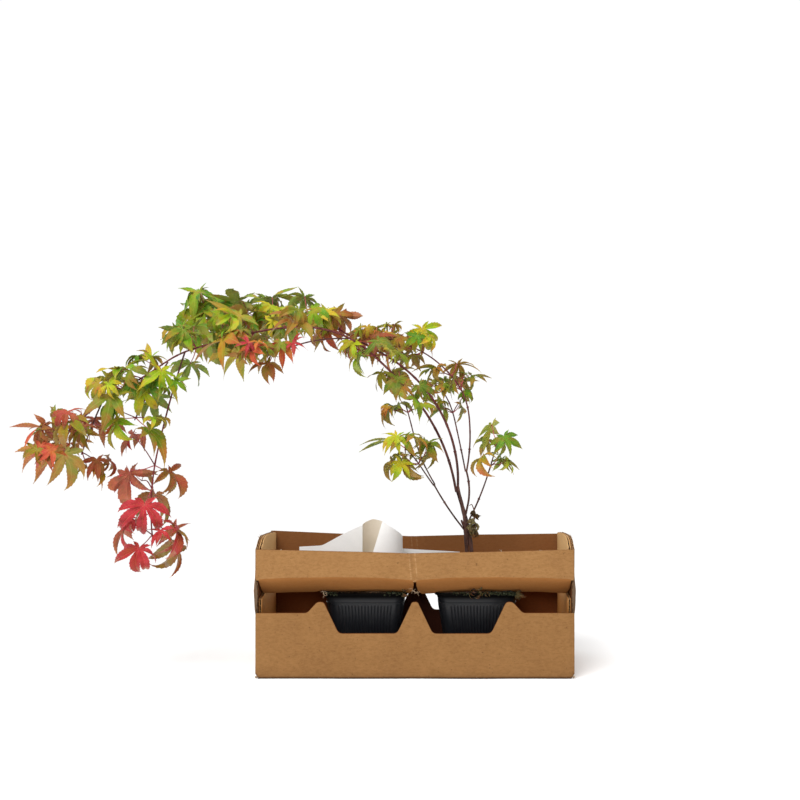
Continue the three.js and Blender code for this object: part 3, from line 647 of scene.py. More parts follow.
def paper_material():
    """Blank label paper: white and a little glossy outside; matt inside, with a cream tint that is painted
    warm shade.
    """
    made, place, (_, _, mark) = material("label_paper")
    fibre = noise(place, 700, 3)
    cloud = noise(place, 30, 3)
    inner = mark > 0.5
    outside = ramp(cloud, [(0.3, (0.84, 0.84, 0.82)), (0.7, (0.93, 0.92, 0.9))])
    # the cream inside is painted warm shade on the curl's inner face
    inside = ramp(cloud, [(0.3, (0.76, 0.67, 0.54)), (0.7, (0.86, 0.78, 0.66))])
    base = blend(fibre.to(0.6, 0.75, 0, 0.12), blend(inner, outside, inside), (0.5, 0.47, 0.42))
    return surface(made, base, inner.to(0, 1, 0.42, 0.75), 0.35, (fibre, 0.25, 0.0002))


def bark_material():
    """Young maple bark: near black maroon on old wood, red on young shoots, with pale pores."""
    made, place, (_, _, mark) = material("bark")
    cloud = noise(stretched(place, 0.25), 320, 5, 0.65)
    pores = node(place.tree, "TexVoronoi", {"Vector": place, "Scale": 420.0})
    old = ramp(cloud, [(0.35, (0.022, 0.009, 0.008)), (0.65, (0.11, 0.048, 0.034))])
    fresh = ramp(cloud, [(0.3, (0.12, 0.012, 0.016)), (0.7, (0.25, 0.034, 0.04))])
    base = blend(pores.to(0.12, 0.2, 0.4, 0), blend(mark.to(0, 1), old, fresh), (0.2, 0.13, 0.09))
    return surface(made, base, 0.55, 0.25, (noise(place, 1300, 4, 0.7) + cloud, 0.8, 0.0008))


def stalk_material():
    """The smooth red stalks of the leaves, paler in places."""
    made, place, _ = material("leaf_stalk")
    tones = [(0.3, (0.2, 0.02, 0.03)), (0.55, (0.4, 0.07, 0.08)), (0.75, (0.42, 0.2, 0.08))]
    return surface(made, ramp(noise(place, 90, 4), tones), 0.45, 0.3, (noise(place, 900), 0.3, 0.0002))


def leaf_material(name, tones, tip, vein, tip_share):
    """A maple leaf: its own tint from its mark, lighter veins, a browned edge and a dull underside."""
    made, place, (aside, along, mark) = material(name)
    aside = abs(aside)
    under = mark > 1.5
    cloud = noise(place, 48, 4) - 0.5
    fine = noise(place, 520, 4)
    drift = (mark - under * 2.0).to(0, 1, 0.1, 0.7) + cloud * 2.2
    base = ramp(drift, [(i / (len(tones) - 1), tint) for i, tint in enumerate(tones)])
    base = blend((along + cloud * 1.6).to(0.4, 0.95, 0, tip_share), base, tip)
    base = blend(noise(place, 110, 4, 0.6).to(0.52, 0.68, 0, 0.55), base, tip)
    base = blend(fine.to(0.35, 0.7, 0, 0.15), base, (0.3, 0.3, 0.3), "MULTIPLY")
    fork = abs((along * 15 - aside * 17).maths("FRACT") - 0.5)
    lines = aside.to(0.004, 0.012, 1, 0).maths("MAXIMUM", fork.to(0.03, 0.11, 0.5, 0))
    base = blend(lines * 0.55, base, vein)
    base = blend(under * 0.22, base, (0.4, 0.36, 0.16))
    soft = {"Subsurface Weight": 0.1, "Subsurface Radius": (1.0, 0.8, 0.2), "Subsurface Scale": 0.002}
    return surface(made, base, 0.5, 0.2, (fine * 0.5 - lines, 0.5, 0.0003), soft)


def floor_material():
    """White paper that glows a little, as an overexposed backdrop does."""
    made, _, _ = material("floor_white")
    glow = {"Emission Color": (1, 1, 1), "Emission Strength": GLOW}
    return surface(made, (0.95, 0.95, 0.95), 0.9, 0.2, None, glow)


# The carrier
def rounded_line(corners, steps=5):
    """An open line through the corners, each one rounded by its third number."""
    line = []
    for i, (x, z, cut) in enumerate(corners):
        here = np.array([x, z], float)
        if cut == 0 or i in (0, len(corners) - 1):
            line.append(here)
            continue
        into = here + unit(np.array(corners[i - 1][:2]) - here) * cut
        out = here + unit(np.array(corners[i + 1][:2]) - here) * cut
        for t in np.linspace(0, 1, steps):
            line.append((1 - t) ** 2 * into + 2 * t * (1 - t) * here + t * t * out)
    return np.array(line)


def columns_for(line, start, end, step=4):
    """Places along an edge: those of its corners, left and right, and others at most a step apart."""
    corners = np.concatenate([-line[:, 0], line[:, 0]])
    inside = corners[(corners > start) & (corners < end)]
    stops = np.unique(np.round(np.concatenate([[start, end], inside]), 3))
    places = [np.linspace(a, b, max(1, math.ceil((b - a) / step)) + 1)[:-1] for a, b in zip(stops, stops[1:])]
    return np.concatenate([*places, [end]])


def long_plan(face):
    """The long side seen from above: straight, then round the corner by a quarter turn at each end."""
    straight = HALF_X - FOLD

    def plan(u):
        turn = np.clip((np.abs(u) - straight) / FOLD, 0, math.pi / 2)
        x = np.sign(u) * (np.minimum(np.abs(u), straight) + FOLD * np.sin(turn))
        y = face * (HALF_Y - FOLD * (1 - np.cos(turn)))
        return x, y, -np.sign(u) * np.sin(turn), -face * np.cos(turn)

    return plan


def bent(plan, fold_top, radius, bend, wobble, sag=None):
    """Where a board runs: straight down, round a fold, then on at its angle. w is measured down
    from the fold's start and depth inwards from the board's outer face. A sag lowers the fold."""
    limit = math.radians(bend)

    def place(u, w, depth):
        u, w, depth = np.broadcast_arrays(u, w, depth)
        turn = np.clip(w / radius, 0, limit)
        beyond = np.maximum(w - radius * limit, 0)
        inset = radius * (1 - np.cos(turn)) + beyond * math.sin(limit)
        x, y, inward_x, inward_y = plan(u)
        z = fold_top + np.maximum(-w, 0) - radius * np.sin(turn) - beyond * math.cos(limit)
        depth = depth + wobble(u, z)
        inset = inset + depth * np.cos(turn)
        z = z + depth * np.sin(turn)
        if sag:
            z = z + sag(np.abs(u)) * np.clip(1 + w / 30, 0, 1)
        return xyz(x + inward_x * inset, y + inward_y * inset, z)

    return place


def board(batch, place, columns, top, bottom, rows=7, outer=SOUND, inner=INNER):
    """Corrugated board: two papers with a wave between them. top and bottom are functions of u.
    The papers are marked with what outer and inner say."""
    share = np.linspace(0, 1, rows)[:, None]
    u = columns[None, :]
    w = top(u) * (1 - share) + bottom(u) * share
    for depth, mark in ((0, outer), (BOARD - PAPER, inner)):
        plate(batch, place(u, w, depth), place(u, w, depth + PAPER), xyz(u, w, mark))
    share = share[::3]
    u = np.arange(columns[0] + PAPER, columns[-1] - PAPER, FLUTE / 8)[None, :]
    w = top(u) * (1 - share) + bottom(u) * share
    w = w + np.where(share < 0.5, PAPER, -PAPER)
    middle = BOARD / 2 + (BOARD / 2 - PAPER - 0.2) * np.sin(2 * math.pi * u / FLUTE)
    plate(batch, place(u, w, middle - FLUTE_HALF), place(u, w, middle + FLUTE_HALF), xyz(u, w, WAVE))


def edge(line, sign=1, shift=0.0):
    """A function of u that reads the line, mirrored left and right."""
    return lambda u: shift + sign * np.interp(np.abs(u), line[:, 0], line[:, 1])


def level(value):
    """An edge that is straight: the same value for every u."""
    return lambda u: value + 0 * u


def build_board(batch, kraft, name):
    """Each board takes the place of the solid that has its name."""
    batch.build("board_" + name, kraft, "kraft_board", ["carrier_" + name])


def lower_panel(kraft, word, plan, wobble):
    line = rounded_line([(0, PEAK, 0), *LONG_EDGE, (HALF_X, SILL, 0)])
    batch = Batch()
    board(batch, bent(plan, FOLD, FOLD, 90, wobble), columns_for(line, -WRAP, WRAP),
          edge(line, -1, FOLD), level(FOLD_END), rows=9)
    build_board(batch, kraft, word)


def band(kraft, word, plan, wobble):
    """The upper band, creased down its middle, and the two flaps folded in below it."""
    lip = np.array([(0, TANGENT), (1.2, TANGENT), (1.8, 0), (FLAP_END - 1, 0), (FLAP_END, TANGENT),
                    (WRAP, TANGENT)])
    top = reader(BAND_TOPS[word])
    sag = reader(FOLD_SAG)
    soft = ripples(52, 60)

    def creased(u, z):
        beyond = u - (CREASE["x"] - CREASE["half"] - z * CREASE["lean"])
        (dip, dip_reach), (ridge, ridge_reach) = CREASE["dip"], CREASE["ridge"]
        return (wobble(u, z) - dip * hump(beyond, dip_reach)
                + ridge * hump(beyond - CREASE["apart"], ridge_reach))

    def hanging(u, z):
        return wobble(u, z) + 0.5 * soft(xyz(u, z, 0)) * np.clip((HEAD - z) / 9, 0, 1)

    batch = Batch()
    columns = np.unique(np.concatenate([columns_for(lip, -WRAP, WRAP), np.linspace(-12, 4, 21)]))
    board(batch, bent(plan, FOLD_TOP, 1, 0, creased, sag), columns, lambda u: FOLD_TOP - top(u), edge(lip))
    build_board(batch, kraft, "band_" + word)
    line = rounded_line(FLAP_EDGE)
    arc = FLAP_FOLD * math.radians(FLAP_LEAN)
    for hand, side in (("left", -1), ("right", 1)):
        batch = Batch()
        places = np.sort(columns_for(line, 1.5, FLAP_END) * side)
        board(batch, bent(plan, FOLD_TOP, FLAP_FOLD, FLAP_LEAN, hanging, sag), places,
              level(0), edge(line, 1, arc - TANGENT), rows=12, outer=FOLDED)
        build_board(batch, kraft, "flap_%s_%s" % (word, hand))


def base(kraft):
    batch = Batch()
    half_x, half_y = HALF_X - FOLD - GAP, HALF_Y - FOLD - GAP
    board(batch, xyz, np.linspace(-half_x, half_x, 40), level(-half_y), level(half_y), rows=4)
    build_board(batch, kraft, "base")


def ends(kraft, hand, side):
    """A short side: its outer board with what is left of its corner folds, and the liner inside it."""
    half = HALF_Y - FOLD - 0.1
    bulge = ripples(60 + side, 70)
    crest = np.array(END_TOPS, float)
    top = reader(END_TOPS)

    def wobble(u, z):
        belly = hump(z - BELLY["height"], BELLY["reach"]) * np.clip(np.abs(u) / half, 0.3, 1) ** 2
        return -BELLY["depth"] * belly + 0.4 * bulge(xyz(u, z, 0))

    def plan(u):
        return side * HALF_X + 0 * u, u, -side + 0 * u, 0 * u

    batch = Batch()
    board(batch, bent(plan, FOLD, FOLD, 90, wobble), np.linspace(-half, half, 45),
          lambda u: FOLD - top(u), level(FOLD_END), rows=20)
    for face in (-1, 1):
        corner_lens(batch, side, face)
    build_board(batch, kraft, "end_" + hand)
    sides = np.array(LINER_SIDES)
    near = np.concatenate([sides * (1, -1), crest[1:4, ::-1]])
    far = np.concatenate([sides, crest[3:-1, ::-1][::-1]])
    heights = np.unique(np.concatenate([near[:-1, 0], np.linspace(FOOT_TOP, near[-1, 0] - 0.5, 50)]))

    def upright(u, w, depth):
        """Here u is the height and w the place along y, so that the flutes lie level."""
        return xyz(side * (HALF_X - LINER_INSET) - side * (depth + 0.3 * bulge(xyz(w, u, 0))), w, u)

    batch = Batch()
    board(batch, upright, heights, reader(near), reader(far), rows=10, outer=LINER, inner=LINER)
    build_board(batch, kraft, "liner_" + hand)


def corner_lens(batch, side, face):
    """A slim lens of board round a corner, where the fold between band and lower panel has sprung
    open. It is wide at half its height. Here u is the height."""
    plan = long_plan(face)
    low, high = SILL - 1, HEAD + 1

    def swell(u):
        return np.sin(np.pi * np.clip((u - low) / (high - low), 0, 1)) ** 0.6

    def place(u, w, depth):
        u, w, depth = np.broadcast_arrays(u, w, depth)
        x, y, inward_x, inward_y = plan(side * (WRAP - w))
        depth = depth - LENS["proud"] * swell(u)
        return xyz(x + inward_x * depth, y + inward_y * depth, u)

    def width(u):
        return LENS["least"] + (LENS["most"] - LENS["least"]) * swell(u)

    # the lens is tinted dark: painted shade of the crumpled board
    board(batch, place, np.linspace(low, high, 25), level(0), width, outer=LENS_SHADE, inner=LENS_SHADE)


def fibres(batch, draw, spot, count, reach, droop):
    """Torn paper fibres round a spot: most of them hang, or stand where the droop is negative."""
    for _ in range(count):
        way = unit(draw.normal(0, 1, 3) * (0.8, 0.4, 0.8) - UP * droop)
        start = spot + draw.normal(0, 1, 3) * (reach * 0.35, 0.5, reach * 0.2)
        middle = start + way * reach * 0.5 + draw.normal(0, 0.12, 3) * reach
        rod(batch, [start, middle, start + way * reach], FIBRE_RADII, 1.2, 5, TORN)


def torn_edges(kraft):
    """Fibres where the board tore: at the windows' peaks, the middle, the ends and the top edge."""
    draw = np.random.default_rng(12)
    top = reader(BAND_TOPS["front"])
    tears = [((x * -face, face * TEAR_Y, z), *hair, 0.5) for face in (-1, 1) for x, z, *hair in TEARS]
    tears += [((side * (HALF_X - BOARD / 2), y, z), 3, 3, -0.6) for side in (-1, 1) for y, z in END_TEARS]
    tears += [((x, BOARD / 2 - HALF_Y, top(x)), 3, 2.4, -0.2) for x in CHIPS]
    batch = Batch()
    for spot, count, reach, droop in tears:
        fibres(batch, draw, np.array(spot), count, reach, droop)
    for side in (-1, 1, -1, 1, 1, 1):
        batch.add(crumb(draw, 2.2) + np.array(CRUMBLED) * (side, 1, 1), CRUMB_FACES, (0, 0, TORN))
    batch.build("board_fibres", kraft, "kraft_board")


def carrier(kraft):
    torn_edges(kraft)
    for seed, (word, face) in enumerate([("front", -1), ("back", 1)]):
        unevenness = ripples(40 + seed, 90)

        def wobble(u, z):
            return 0.6 * unevenness(xyz(u, z, 0)) * np.clip((HALF_X - np.abs(u)) / 20, 0, 1)

        lower_panel(kraft, word, long_plan(face), wobble)
        band(kraft, word, long_plan(face), wobble)
    base(kraft)
    for hand, side in (("left", -1), ("right", 1)):
        ends(kraft, hand, side)


# The pots
def square_ring(x, z, half, corner, ribs=0.0, steps=24):
    """A square outline with round corners at a height, ribbed along the middle of each side."""
    straight = half - corner
    share = np.linspace(-1, 1, steps + 1)
    ridge = ribs * (np.abs(share) < 0.93) * np.maximum(0, np.cos(np.pi * RIB["count"] * share)) ** 1.5
    side = np.stack([half + ridge, share * straight], -1)
    turn = np.linspace(0, np.pi / 2, 8)[1:-1]
    bow = np.stack([straight + corner * np.cos(turn), straight + corner * np.sin(turn)], -1)
    quarter = np.concatenate([side, bow])
    rings = []
    for k in range(4):
        c, s = math.cos(k * math.pi / 2), math.sin(k * math.pi / 2)
        rings.append(quarter @ np.array([[c, s], [-s, c]]))
    ring = np.concatenate(rings)
    return xyz(ring[:, 0] + x, ring[:, 1], z)


def half_at(z):
    return POT["foot"] + (POT["body"] - POT["foot"]) * (z - FOOT) / POT["height"]


def corner_at(half):
    return POT["corner"] * half / POT["rim"]


def pot(plastic, hand):
    top = FOOT + POT["height"]
    under = top - POT["lip"]
    wall = POT["wall"]
    rim = POT["rim"]
    profile = [(FOOT, POT["foot"] - 1, 0), (FOOT + 1, half_at(FOOT + 1), 0)]
    for z, ribs in ((RIB["low"], 0), (RIB["low"] + 2, 1), (RIB["high"], 1), (RIB["high"] + 1, 0)):
        profile.append((z, half_at(z), ribs * RIB["depth"]))
    for rise, proud in ((0, 0), (0.4, 0.8), (1.2, 0.8), (1.6, 0)):
        profile.append((RIB["line"] + rise, half_at(RIB["line"] + rise) + proud, 0))
    profile += [
        (under, half_at(under) + 0.6, 0), (under, rim - 0.6, 0), (under + 0.7, rim, 0), (top - 0.7, rim, 0),
        (top, rim - 0.5, 0), (top, rim - wall, 0), (top - 0.6, rim - wall - 0.4, 0),
        (under + wall, rim - wall - 0.6, 0), (under + wall * 0.7, half_at(under) - wall, 0),
        (FOOT + wall + 4, half_at(FOOT + 4) - wall, 0)]
    batch = Batch()
    stack(batch, [square_ring(POT_X[hand], z, half, corner_at(half), ribs, RIB["count"] * 8)
                  for z, half, ribs in profile], 0.5)
    batch.build("pot_wall_" + hand, plastic, "pot_plastic", ["pot_" + hand], sharp=35)


def crumb(draw, size):
    """A rough lump with six corners."""
    corners = np.array([[1, 0, 0], [-1, 0, 0], [0, 1, 0], [0, -1, 0], [0, 0, 1], [0, 0, -1]], float)
    corners *= draw.uniform(0.35, 1, (6, 1)) * size
    turn = unit(draw.normal(size=(3, 3)))
    first = turn[0]
    second = unit(np.cross(first, turn[1]))
    return corners @ np.array([first, second, np.cross(first, second)])


def compost(soil, hand, seed):
    """A filled pot's compost: a block with a lumpy top, and crumbs and bark chips lying on it."""
    x = POT_X[hand]
    top = COMPOST["top"]
    draw = np.random.default_rng(seed)
    (high, wide), (small_high, small_wide) = COMPOST["lumps"], COMPOST["small"]
    lumps = ripples(seed, wide)
    small = ripples(seed + 1, small_wide)
    whole = half_at(top) - COMPOST["gap"]
    foot = half_at(FOOT + 2) - COMPOST["gap"]
    rings = [square_ring(x, z, half, corner_at(half)) for z, half in ((FOOT + 2.4, foot), (top - 3, whole))]
    for share in np.linspace(0.99, 0.02, 26):
        half = whole * share
        spots = square_ring(x, top - 1.5, half, half * (0.25 + 0.7 * (1 - share)))
        spots[:, 2] += high * lumps(spots) + small_high * small(spots) - 1.2 * share ** 6
        rings.append(spots)
    batch = Batch()
    stack(batch, rings, 0.35)
    reach = half_at(top) - 4
    for _ in range(COMPOST["crumbs"]):
        spot = np.array([x + draw.uniform(-reach, reach), draw.uniform(-reach, reach), top - 0.8])
        spot[2] += high * lumps(spot)
        shape = crumb(draw, draw.uniform(*COMPOST["crumb"])) * (1, 1, 0.6)
        batch.add(spot + shape, CRUMB_FACES, (0, 0, draw.uniform(0, 1)))
    batch.build("compost_bed_" + hand, soil, "compost", ["compost_" + hand], sharp=25)


# The label
def paper_band(paper, name, node_name, line, tops, wave, warm_shade=0.0, shear=0.0):
    """A thin standing sheet along the line, with its top edge at the given heights. Its right-hand
    face is made matt and painted a shaded cream by the share given, and shear pushes it along +X
    with height above its middle."""
    low = FOOT + POT["height"] + GAP
    along = unit(np.gradient(line, axis=0))
    aside = np.stack([-along[:, 1], along[:, 0]], -1)
    share = np.linspace(0, 1, 15)[:, None]
    z = low + (tops - low) * share
    lean = wave * np.sin(share * 2.2) * np.sin(np.linspace(0, 9, len(line)))
    push = shear * (z - (low + LABEL["curled"]))
    sheets = []
    for hand in (-1, 1):
        flat = line + aside * hand * LABEL["thick"] / 2
        sheets.append(xyz(flat[:, 0] + lean * aside[:, 0] + push, flat[:, 1] + lean * aside[:, 1], z))
    batch = Batch()
    plate(batch, *sheets, xyz(0 * z, 0, warm_shade), xyz(0 * z, 0, 0))
    batch.build(name, paper, "label_paper", [node_name])


def label(paper):
    """The blank label: a low sheet that rises into one turn of a curl, and a tail behind it."""
    share = np.linspace(0, 1, 90)
    turn = np.radians(CURL["start"] + (CURL["end"] - CURL["start"]) * share)
    radius = CURL["wide"] + (CURL["narrow"] - CURL["wide"]) * share
    curl = np.stack([CURL["x"] + radius * np.cos(turn), CURL["y"] + radius * np.sin(turn)], -1)
    start = np.array(LABEL["start"], float)
    run = start + (curl[0] - start) * np.linspace(0, 1, 40)[:-1, None]
    tops = np.concatenate([reader(RUN_TOPS)(run[:, 0]), reader(CURL_TOPS)(share)])
    soften = np.array([1, 2, 3, 2, 1]) / 9
    tops[2:-2] = np.convolve(tops, soften, "valid")
    flat = np.zeros(len(run))
    # the curl's inner face takes a cream tint: painted warm shade
    warm_shade = np.concatenate([flat, (share > 0.01) + 0.0])
    shear = np.concatenate([flat, CURL["shear"] * np.clip((share - 0.65) / 0.35, 0, 1) ** 2])
    paper_band(paper, "label_sheet", "label_curl", np.concatenate([run, curl]), tops, 0.4, warm_shade, shear)
    x = np.linspace(STRIP[0][0], STRIP[-1][0], 50)
    line = np.stack([x, reader(STRIP)(x)], -1)
    paper_band(paper, "label_tail", "label_strip", line, reader(STRIP, 2)(x), 0.8)


# The plant's growing rule, as in the part's source
def random_row(seed):
    """The same seed always gives the same row of numbers from 0 to 1."""
    state = seed

    def draw():
        nonlocal state
        state = (state + 0x6D2B79F5) & 0xFFFFFFFF
        t = ((state ^ (state >> 15)) * (state | 1)) & 0xFFFFFFFF
        t ^= (t + ((t ^ (t >> 7)) * (t | 61))) & 0xFFFFFFFF
        return ((t ^ (t >> 14)) & 0xFFFFFFFF) / 4294967296

    return draw


def heading(climb, bearing):
    c, b = math.radians(climb), math.radians(bearing)
    return np.array([math.cos(c) * math.cos(b), math.cos(c) * math.sin(b), math.sin(c)])


def square_to(forward):
    guide = ACROSS if abs(forward[2]) > 0.9 else UP
    return unit(guide - forward * (guide @ forward))


def turned(v, axis, angle):
    """The vector turned about the axis by an angle in radians."""
    return between(v, np.cross(axis, v), angle) + axis * (axis @ v) * (1 - math.cos(angle))


def hung_leaf(stem, knee, base, level, droop, roll, size, curl):
    """A leaf with the line of its stalk. Its blade starts level, droops, then rolls, by degrees."""
    middle = between(level, -UP, math.radians(droop))
    face = turned(unit(UP - middle * middle[2]), middle, math.radians(roll))
    return {"stem": stem, "knee": knee, "base": base, "middle": middle, "face": face, "size": size,
            "curl": curl}


def point_on(path, share):
    points, radii = path
    lengths = [np.linalg.norm(q - p) for p, q in zip(points, points[1:])]
    left = share * sum(lengths)
    i = 0
    while i + 1 < len(lengths) and left > lengths[i]:
        left -= lengths[i]
        i += 1
    rest = min(1, left / lengths[i])
    radius = radii[i] + (radii[i + 1] - radii[i]) * rest
    return points[i] + (points[i + 1] - points[i]) * rest, radius, unit(points[i + 1] - points[i])


def start_of(start, climb, bearing, radius, paths):
    parent, at, side, back = start
    point, parent_radius, forward = point_on(paths[parent], at)
    along = heading(climb, bearing)
    lean = math.acos(max(-1, min(1, forward @ along)))
    if side is not None:
        aside = unit(np.array([forward[2], 0, -forward[0]]))
        return point + aside * side + forward * (GAP + radius * math.sin(lean))
    away = (parent_radius + GAP + radius * abs(math.cos(lean))) / math.sin(lean)
    return point + along * (away - back)


def walk(start, climb, bearing, length, bend, swing):
    steps = max(3, math.floor(length / 12 + 0.5))
    points = [start]
    for i in range(steps):
        share = (i + 0.5) / steps
        points.append(points[-1] + heading(climb + bend * share, bearing + swing * share) * length / steps)
    return points


def place_leaf(stem, spray, turn, draw):
    """Where a leaf's stalk leaves the stem, where its blade hangs, and how the blade is turned."""
    point, _, forward = stem
    first = square_to(forward)
    out = between(first, np.cross(forward, first), math.radians(turn))
    size, spread, reach = [LEAF[key][0] + LEAF[key][1] * draw() for key in ("size", "spread", "stalk")]
    size = spray.leaf * size
    stalk = size * reach
    leave = between(forward, out, math.radians(spread))
    arrive = unit(leave + UP * (spray.lift + LEAF["rise"] * draw()))
    knee = point + leave * stalk * 0.5
    level = unit((arrive + out * LEAF["outward"]) * (1, 1, 0))
    droop = spray.droop + LEAF["droop"] * draw()
    roll = LEAF["roll"] * (draw() - 0.5)
    curl = LEAF["curl"][0] + LEAF["curl"][1] * draw()
    return hung_leaf(point, knee, knee + arrive * stalk * 0.5, level, droop, roll, size, curl)


def leaves_on(path, spray):
    draw = random_row(spray.seed)
    start = 360 * draw()
    leaves = []
    for pair in range(spray.pairs):
        share = LEAF["lone"]
        if spray.pairs > 1:
            share = spray.bare + (LEAF["last"] - spray.bare) * pair / (spray.pairs - 1)
        stem = point_on(path, share)
        turn = start + LEAF["turn"][0] * pair + LEAF["turn"][1] * (draw() - 0.5)
        leaves += [place_leaf(stem, spray, turn, draw), place_leaf(stem, spray, turn + 180, draw)]
    return leaves


# The leaves' finer shape
def lobe_rows(turn, long, swell, teeth, cuts, draw):
    """One lobe on the flat leaf, as rows of five points. The first rows share the lines from the
    leaf's foot to the two cuts, and the others run from there to the tip. Returns how far each
    point lies along and aside of the midrib, and where on the midrib the free part begins."""
    way = np.array([math.cos(turn), math.sin(turn)])
    aside = np.array([-way[1], way[0]])
    corners = [cut * np.array([math.cos(at), math.sin(at)]) for at, cut in cuts]
    corners = [(corner @ way, corner @ aside) for corner in corners]
    free = max(0.02, *(along for along, _ in corners))
    rows = []
    for share in (0, 0.35, 0.7, 1):
        rows.append([(along * share, side * share) for along, side in corners])
        rows[-1].insert(1, (free * share, 0))
    for at, tooth in [(i + part, part < 1) for i in range(teeth) for part in (0.7, 1)]:
        v = at / teeth
        row = [(free + (long - free) * v, 0)]
        for place, (along, side) in zip((0, 2), corners):
            wide = abs(side) * (1 - v) ** 2 + swell * v ** 1.3 * (1 - v) ** 1.8 / 0.12
            reach = along + (long - along) * v
            if tooth:
                point = BLADE["tooth"] * draw.uniform(0.6, 1.3) * (1 - 0.75 * v)
                wide += point
                reach += point * 1.1
            row.insert(place, (min(reach, long), math.copysign(wide, side)))
        rows.append(row)
    rows = np.array(rows)
    halves = (rows[:, :-1] + rows[:, 1:]) / 2
    rows = np.stack([rows[:, 0], halves[:, 0], rows[:, 1], halves[:, 1], rows[:, 2]], 1)
    return rows[..., 0], rows[..., 1], free


def lobes_of(draw, teeth_share, opening):
    """The leaf's lobes from one side to the other, with the cuts between them. A leaf whose opening
    is less than 1 has drawn its lobes together."""
    lobes = []
    for kind, (turn, long, swell, teeth) in enumerate(LOBES):
        for sign in ((1,) if kind == 0 else (1, -1)):
            here = (sign * turn + draw.uniform(-4, 4)) * opening
            long_here = long * draw.uniform(0.88, 1.02)
            lobes.append((here, long_here, swell * draw.uniform(0.85, 1.1), round(teeth * teeth_share), kind))
    lobes.sort()
    cuts = []
    for here, after in zip(lobes, lobes[1:]):
        depth = CUTS[min(here[4], after[4])] * draw.uniform(0.85, 1.1)
        cuts.append((math.radians((here[0] + after[0]) / 2), depth))
    first = (math.radians(lobes[0][0] - 38 * opening), CUTS[-1])
    last = (math.radians(lobes[-1][0] + 38 * opening), CUTS[-1])
    return lobes, [first, *cuts, last]


def lobe_rims(first, last):
    """The edges of a lobe's two sides, from the rows where its neighbours end, and of its tip."""
    return lambda index: [(index[first:-1, 0], index[first + 1:, 0]),
                          (index[last + 1:, -1], index[last:-1, -1]), (index[-1, :-1], index[-1, 1:])]


def blade(batch, leaf, draw, tone, wilt, teeth_share=1.0, opening=1.0):
    """A leaf's blade as a thin closed plate: seven toothed lobes, each creased, twisted, swept
    aside and bent down in an arc of its own. A wilted leaf folds and droops more."""
    lobes, cuts = lobes_of(draw, teeth_share, opening)
    face = leaf["face"]
    side = np.cross(face, leaf["middle"])
    crease = 0.15 + 0.75 * wilt * draw.uniform(0.4, 1)
    for k, (turn, long, swell, teeth, _) in enumerate(lobes):
        turn = math.radians(turn)
        along, aside, free = lobe_rows(turn, long, swell, teeth, (cuts[k], cuts[k + 1]), draw)
        way = between(leaf["middle"], side, turn)
        across = between(side, -leaf["middle"], turn)
        beyond = np.maximum(0, along - free)
        bend = draw.uniform(0.3, 0.9) + 2.2 * wilt * draw.uniform(0.5, 1.2)
        pitch = draw.uniform(-0.7, 0.5)
        sweep = draw.uniform(-0.35, 0.35)
        twist = draw.uniform(-1, 1) * (1.3 + wilt)
        angle = pitch + bend * beyond
        forward = np.minimum(along, free) + (np.sin(angle) - math.sin(pitch)) / bend
        drop = (math.cos(pitch) - np.cos(angle)) / bend
        fall = drop + leaf["curl"] * (np.minimum(along, free) ** 2 + aside ** 2)
        lift = crease * np.abs(aside) + aside * np.sin(twist * beyond)
        angle = np.where(beyond > 0, angle, 0)
        spots = (
            way * (forward + lift * np.sin(angle))[..., None]
            + across * (aside * np.cos(twist * beyond) + sweep * beyond ** 2)[..., None]
            + face * (lift * np.cos(angle) - fall)[..., None])
        spots = leaf["base"] + leaf["size"] * spots
        marks = xyz(aside, np.clip(along, 0, 1), tone)
        rise = face * BLADE["half"]
        rims = lobe_rims(0 if k == 0 else 3, 0 if k == len(lobes) - 1 else 3)
        plate(batch, spots + rise, spots - rise, marks, marks + (0, 0, 2), rims)


def stalk(batch, leaf, thick=1.0):
    sunk = leaf["base"] + leaf["middle"] * leaf["size"] * 0.05
    radius = STALK["radius"] * thick
    knee = leaf["knee"] * 0.5 + (leaf["stem"] + leaf["base"]) * 0.25
    radii = [radius * 1.4, radius, radius * 0.9, radius * 0.6]
    rod(batch, [leaf["stem"], knee, leaf["base"], sunk], radii, 2.5, STALK["sides"], 1)


def side_twig(stems, stalks, blades, pick, leaf, spray, draw):
    """A short young shoot from the joint of a leaf, with two small leaves at its tip."""
    foot = leaf["stem"]
    level = unit(unit(leaf["knee"] - foot) * (1, 1, 0.2) + draw.normal(0, 0.35, 3))
    length = spray.leaf * draw.uniform(*TWIG["length"])
    middle = foot + level * length * 0.5 + UP * length * 0.1
    tip = foot + level * length + UP * length * draw.uniform(-0.15, 0.25)
    rod(stems, [foot, middle, tip], TWIG["radii"], 2.5, STALK["sides"], 0.9)
    size = spray.leaf * draw.uniform(*TWIG["leaf"])
    for sign in (-1, 1):
        out = unit(level + sign * 0.9 * unit(np.cross(level, UP)) + UP * 0.5)
        knee = tip + out * size * 0.3
        base = knee + unit(out + UP * 0.4) * size * 0.3
        droop, roll = draw.uniform(10, 70), draw.uniform(-50, 50)
        young = hung_leaf(tip, knee, base, unit(out * (1, 1, 0)), droop, roll, size, 0.3)
        blade(blades[pick(draw)], young, draw, draw.uniform(0, 1), draw.uniform(0, 0.9), TWIG["teeth"])
        stalk(stalks, young, 0.7)


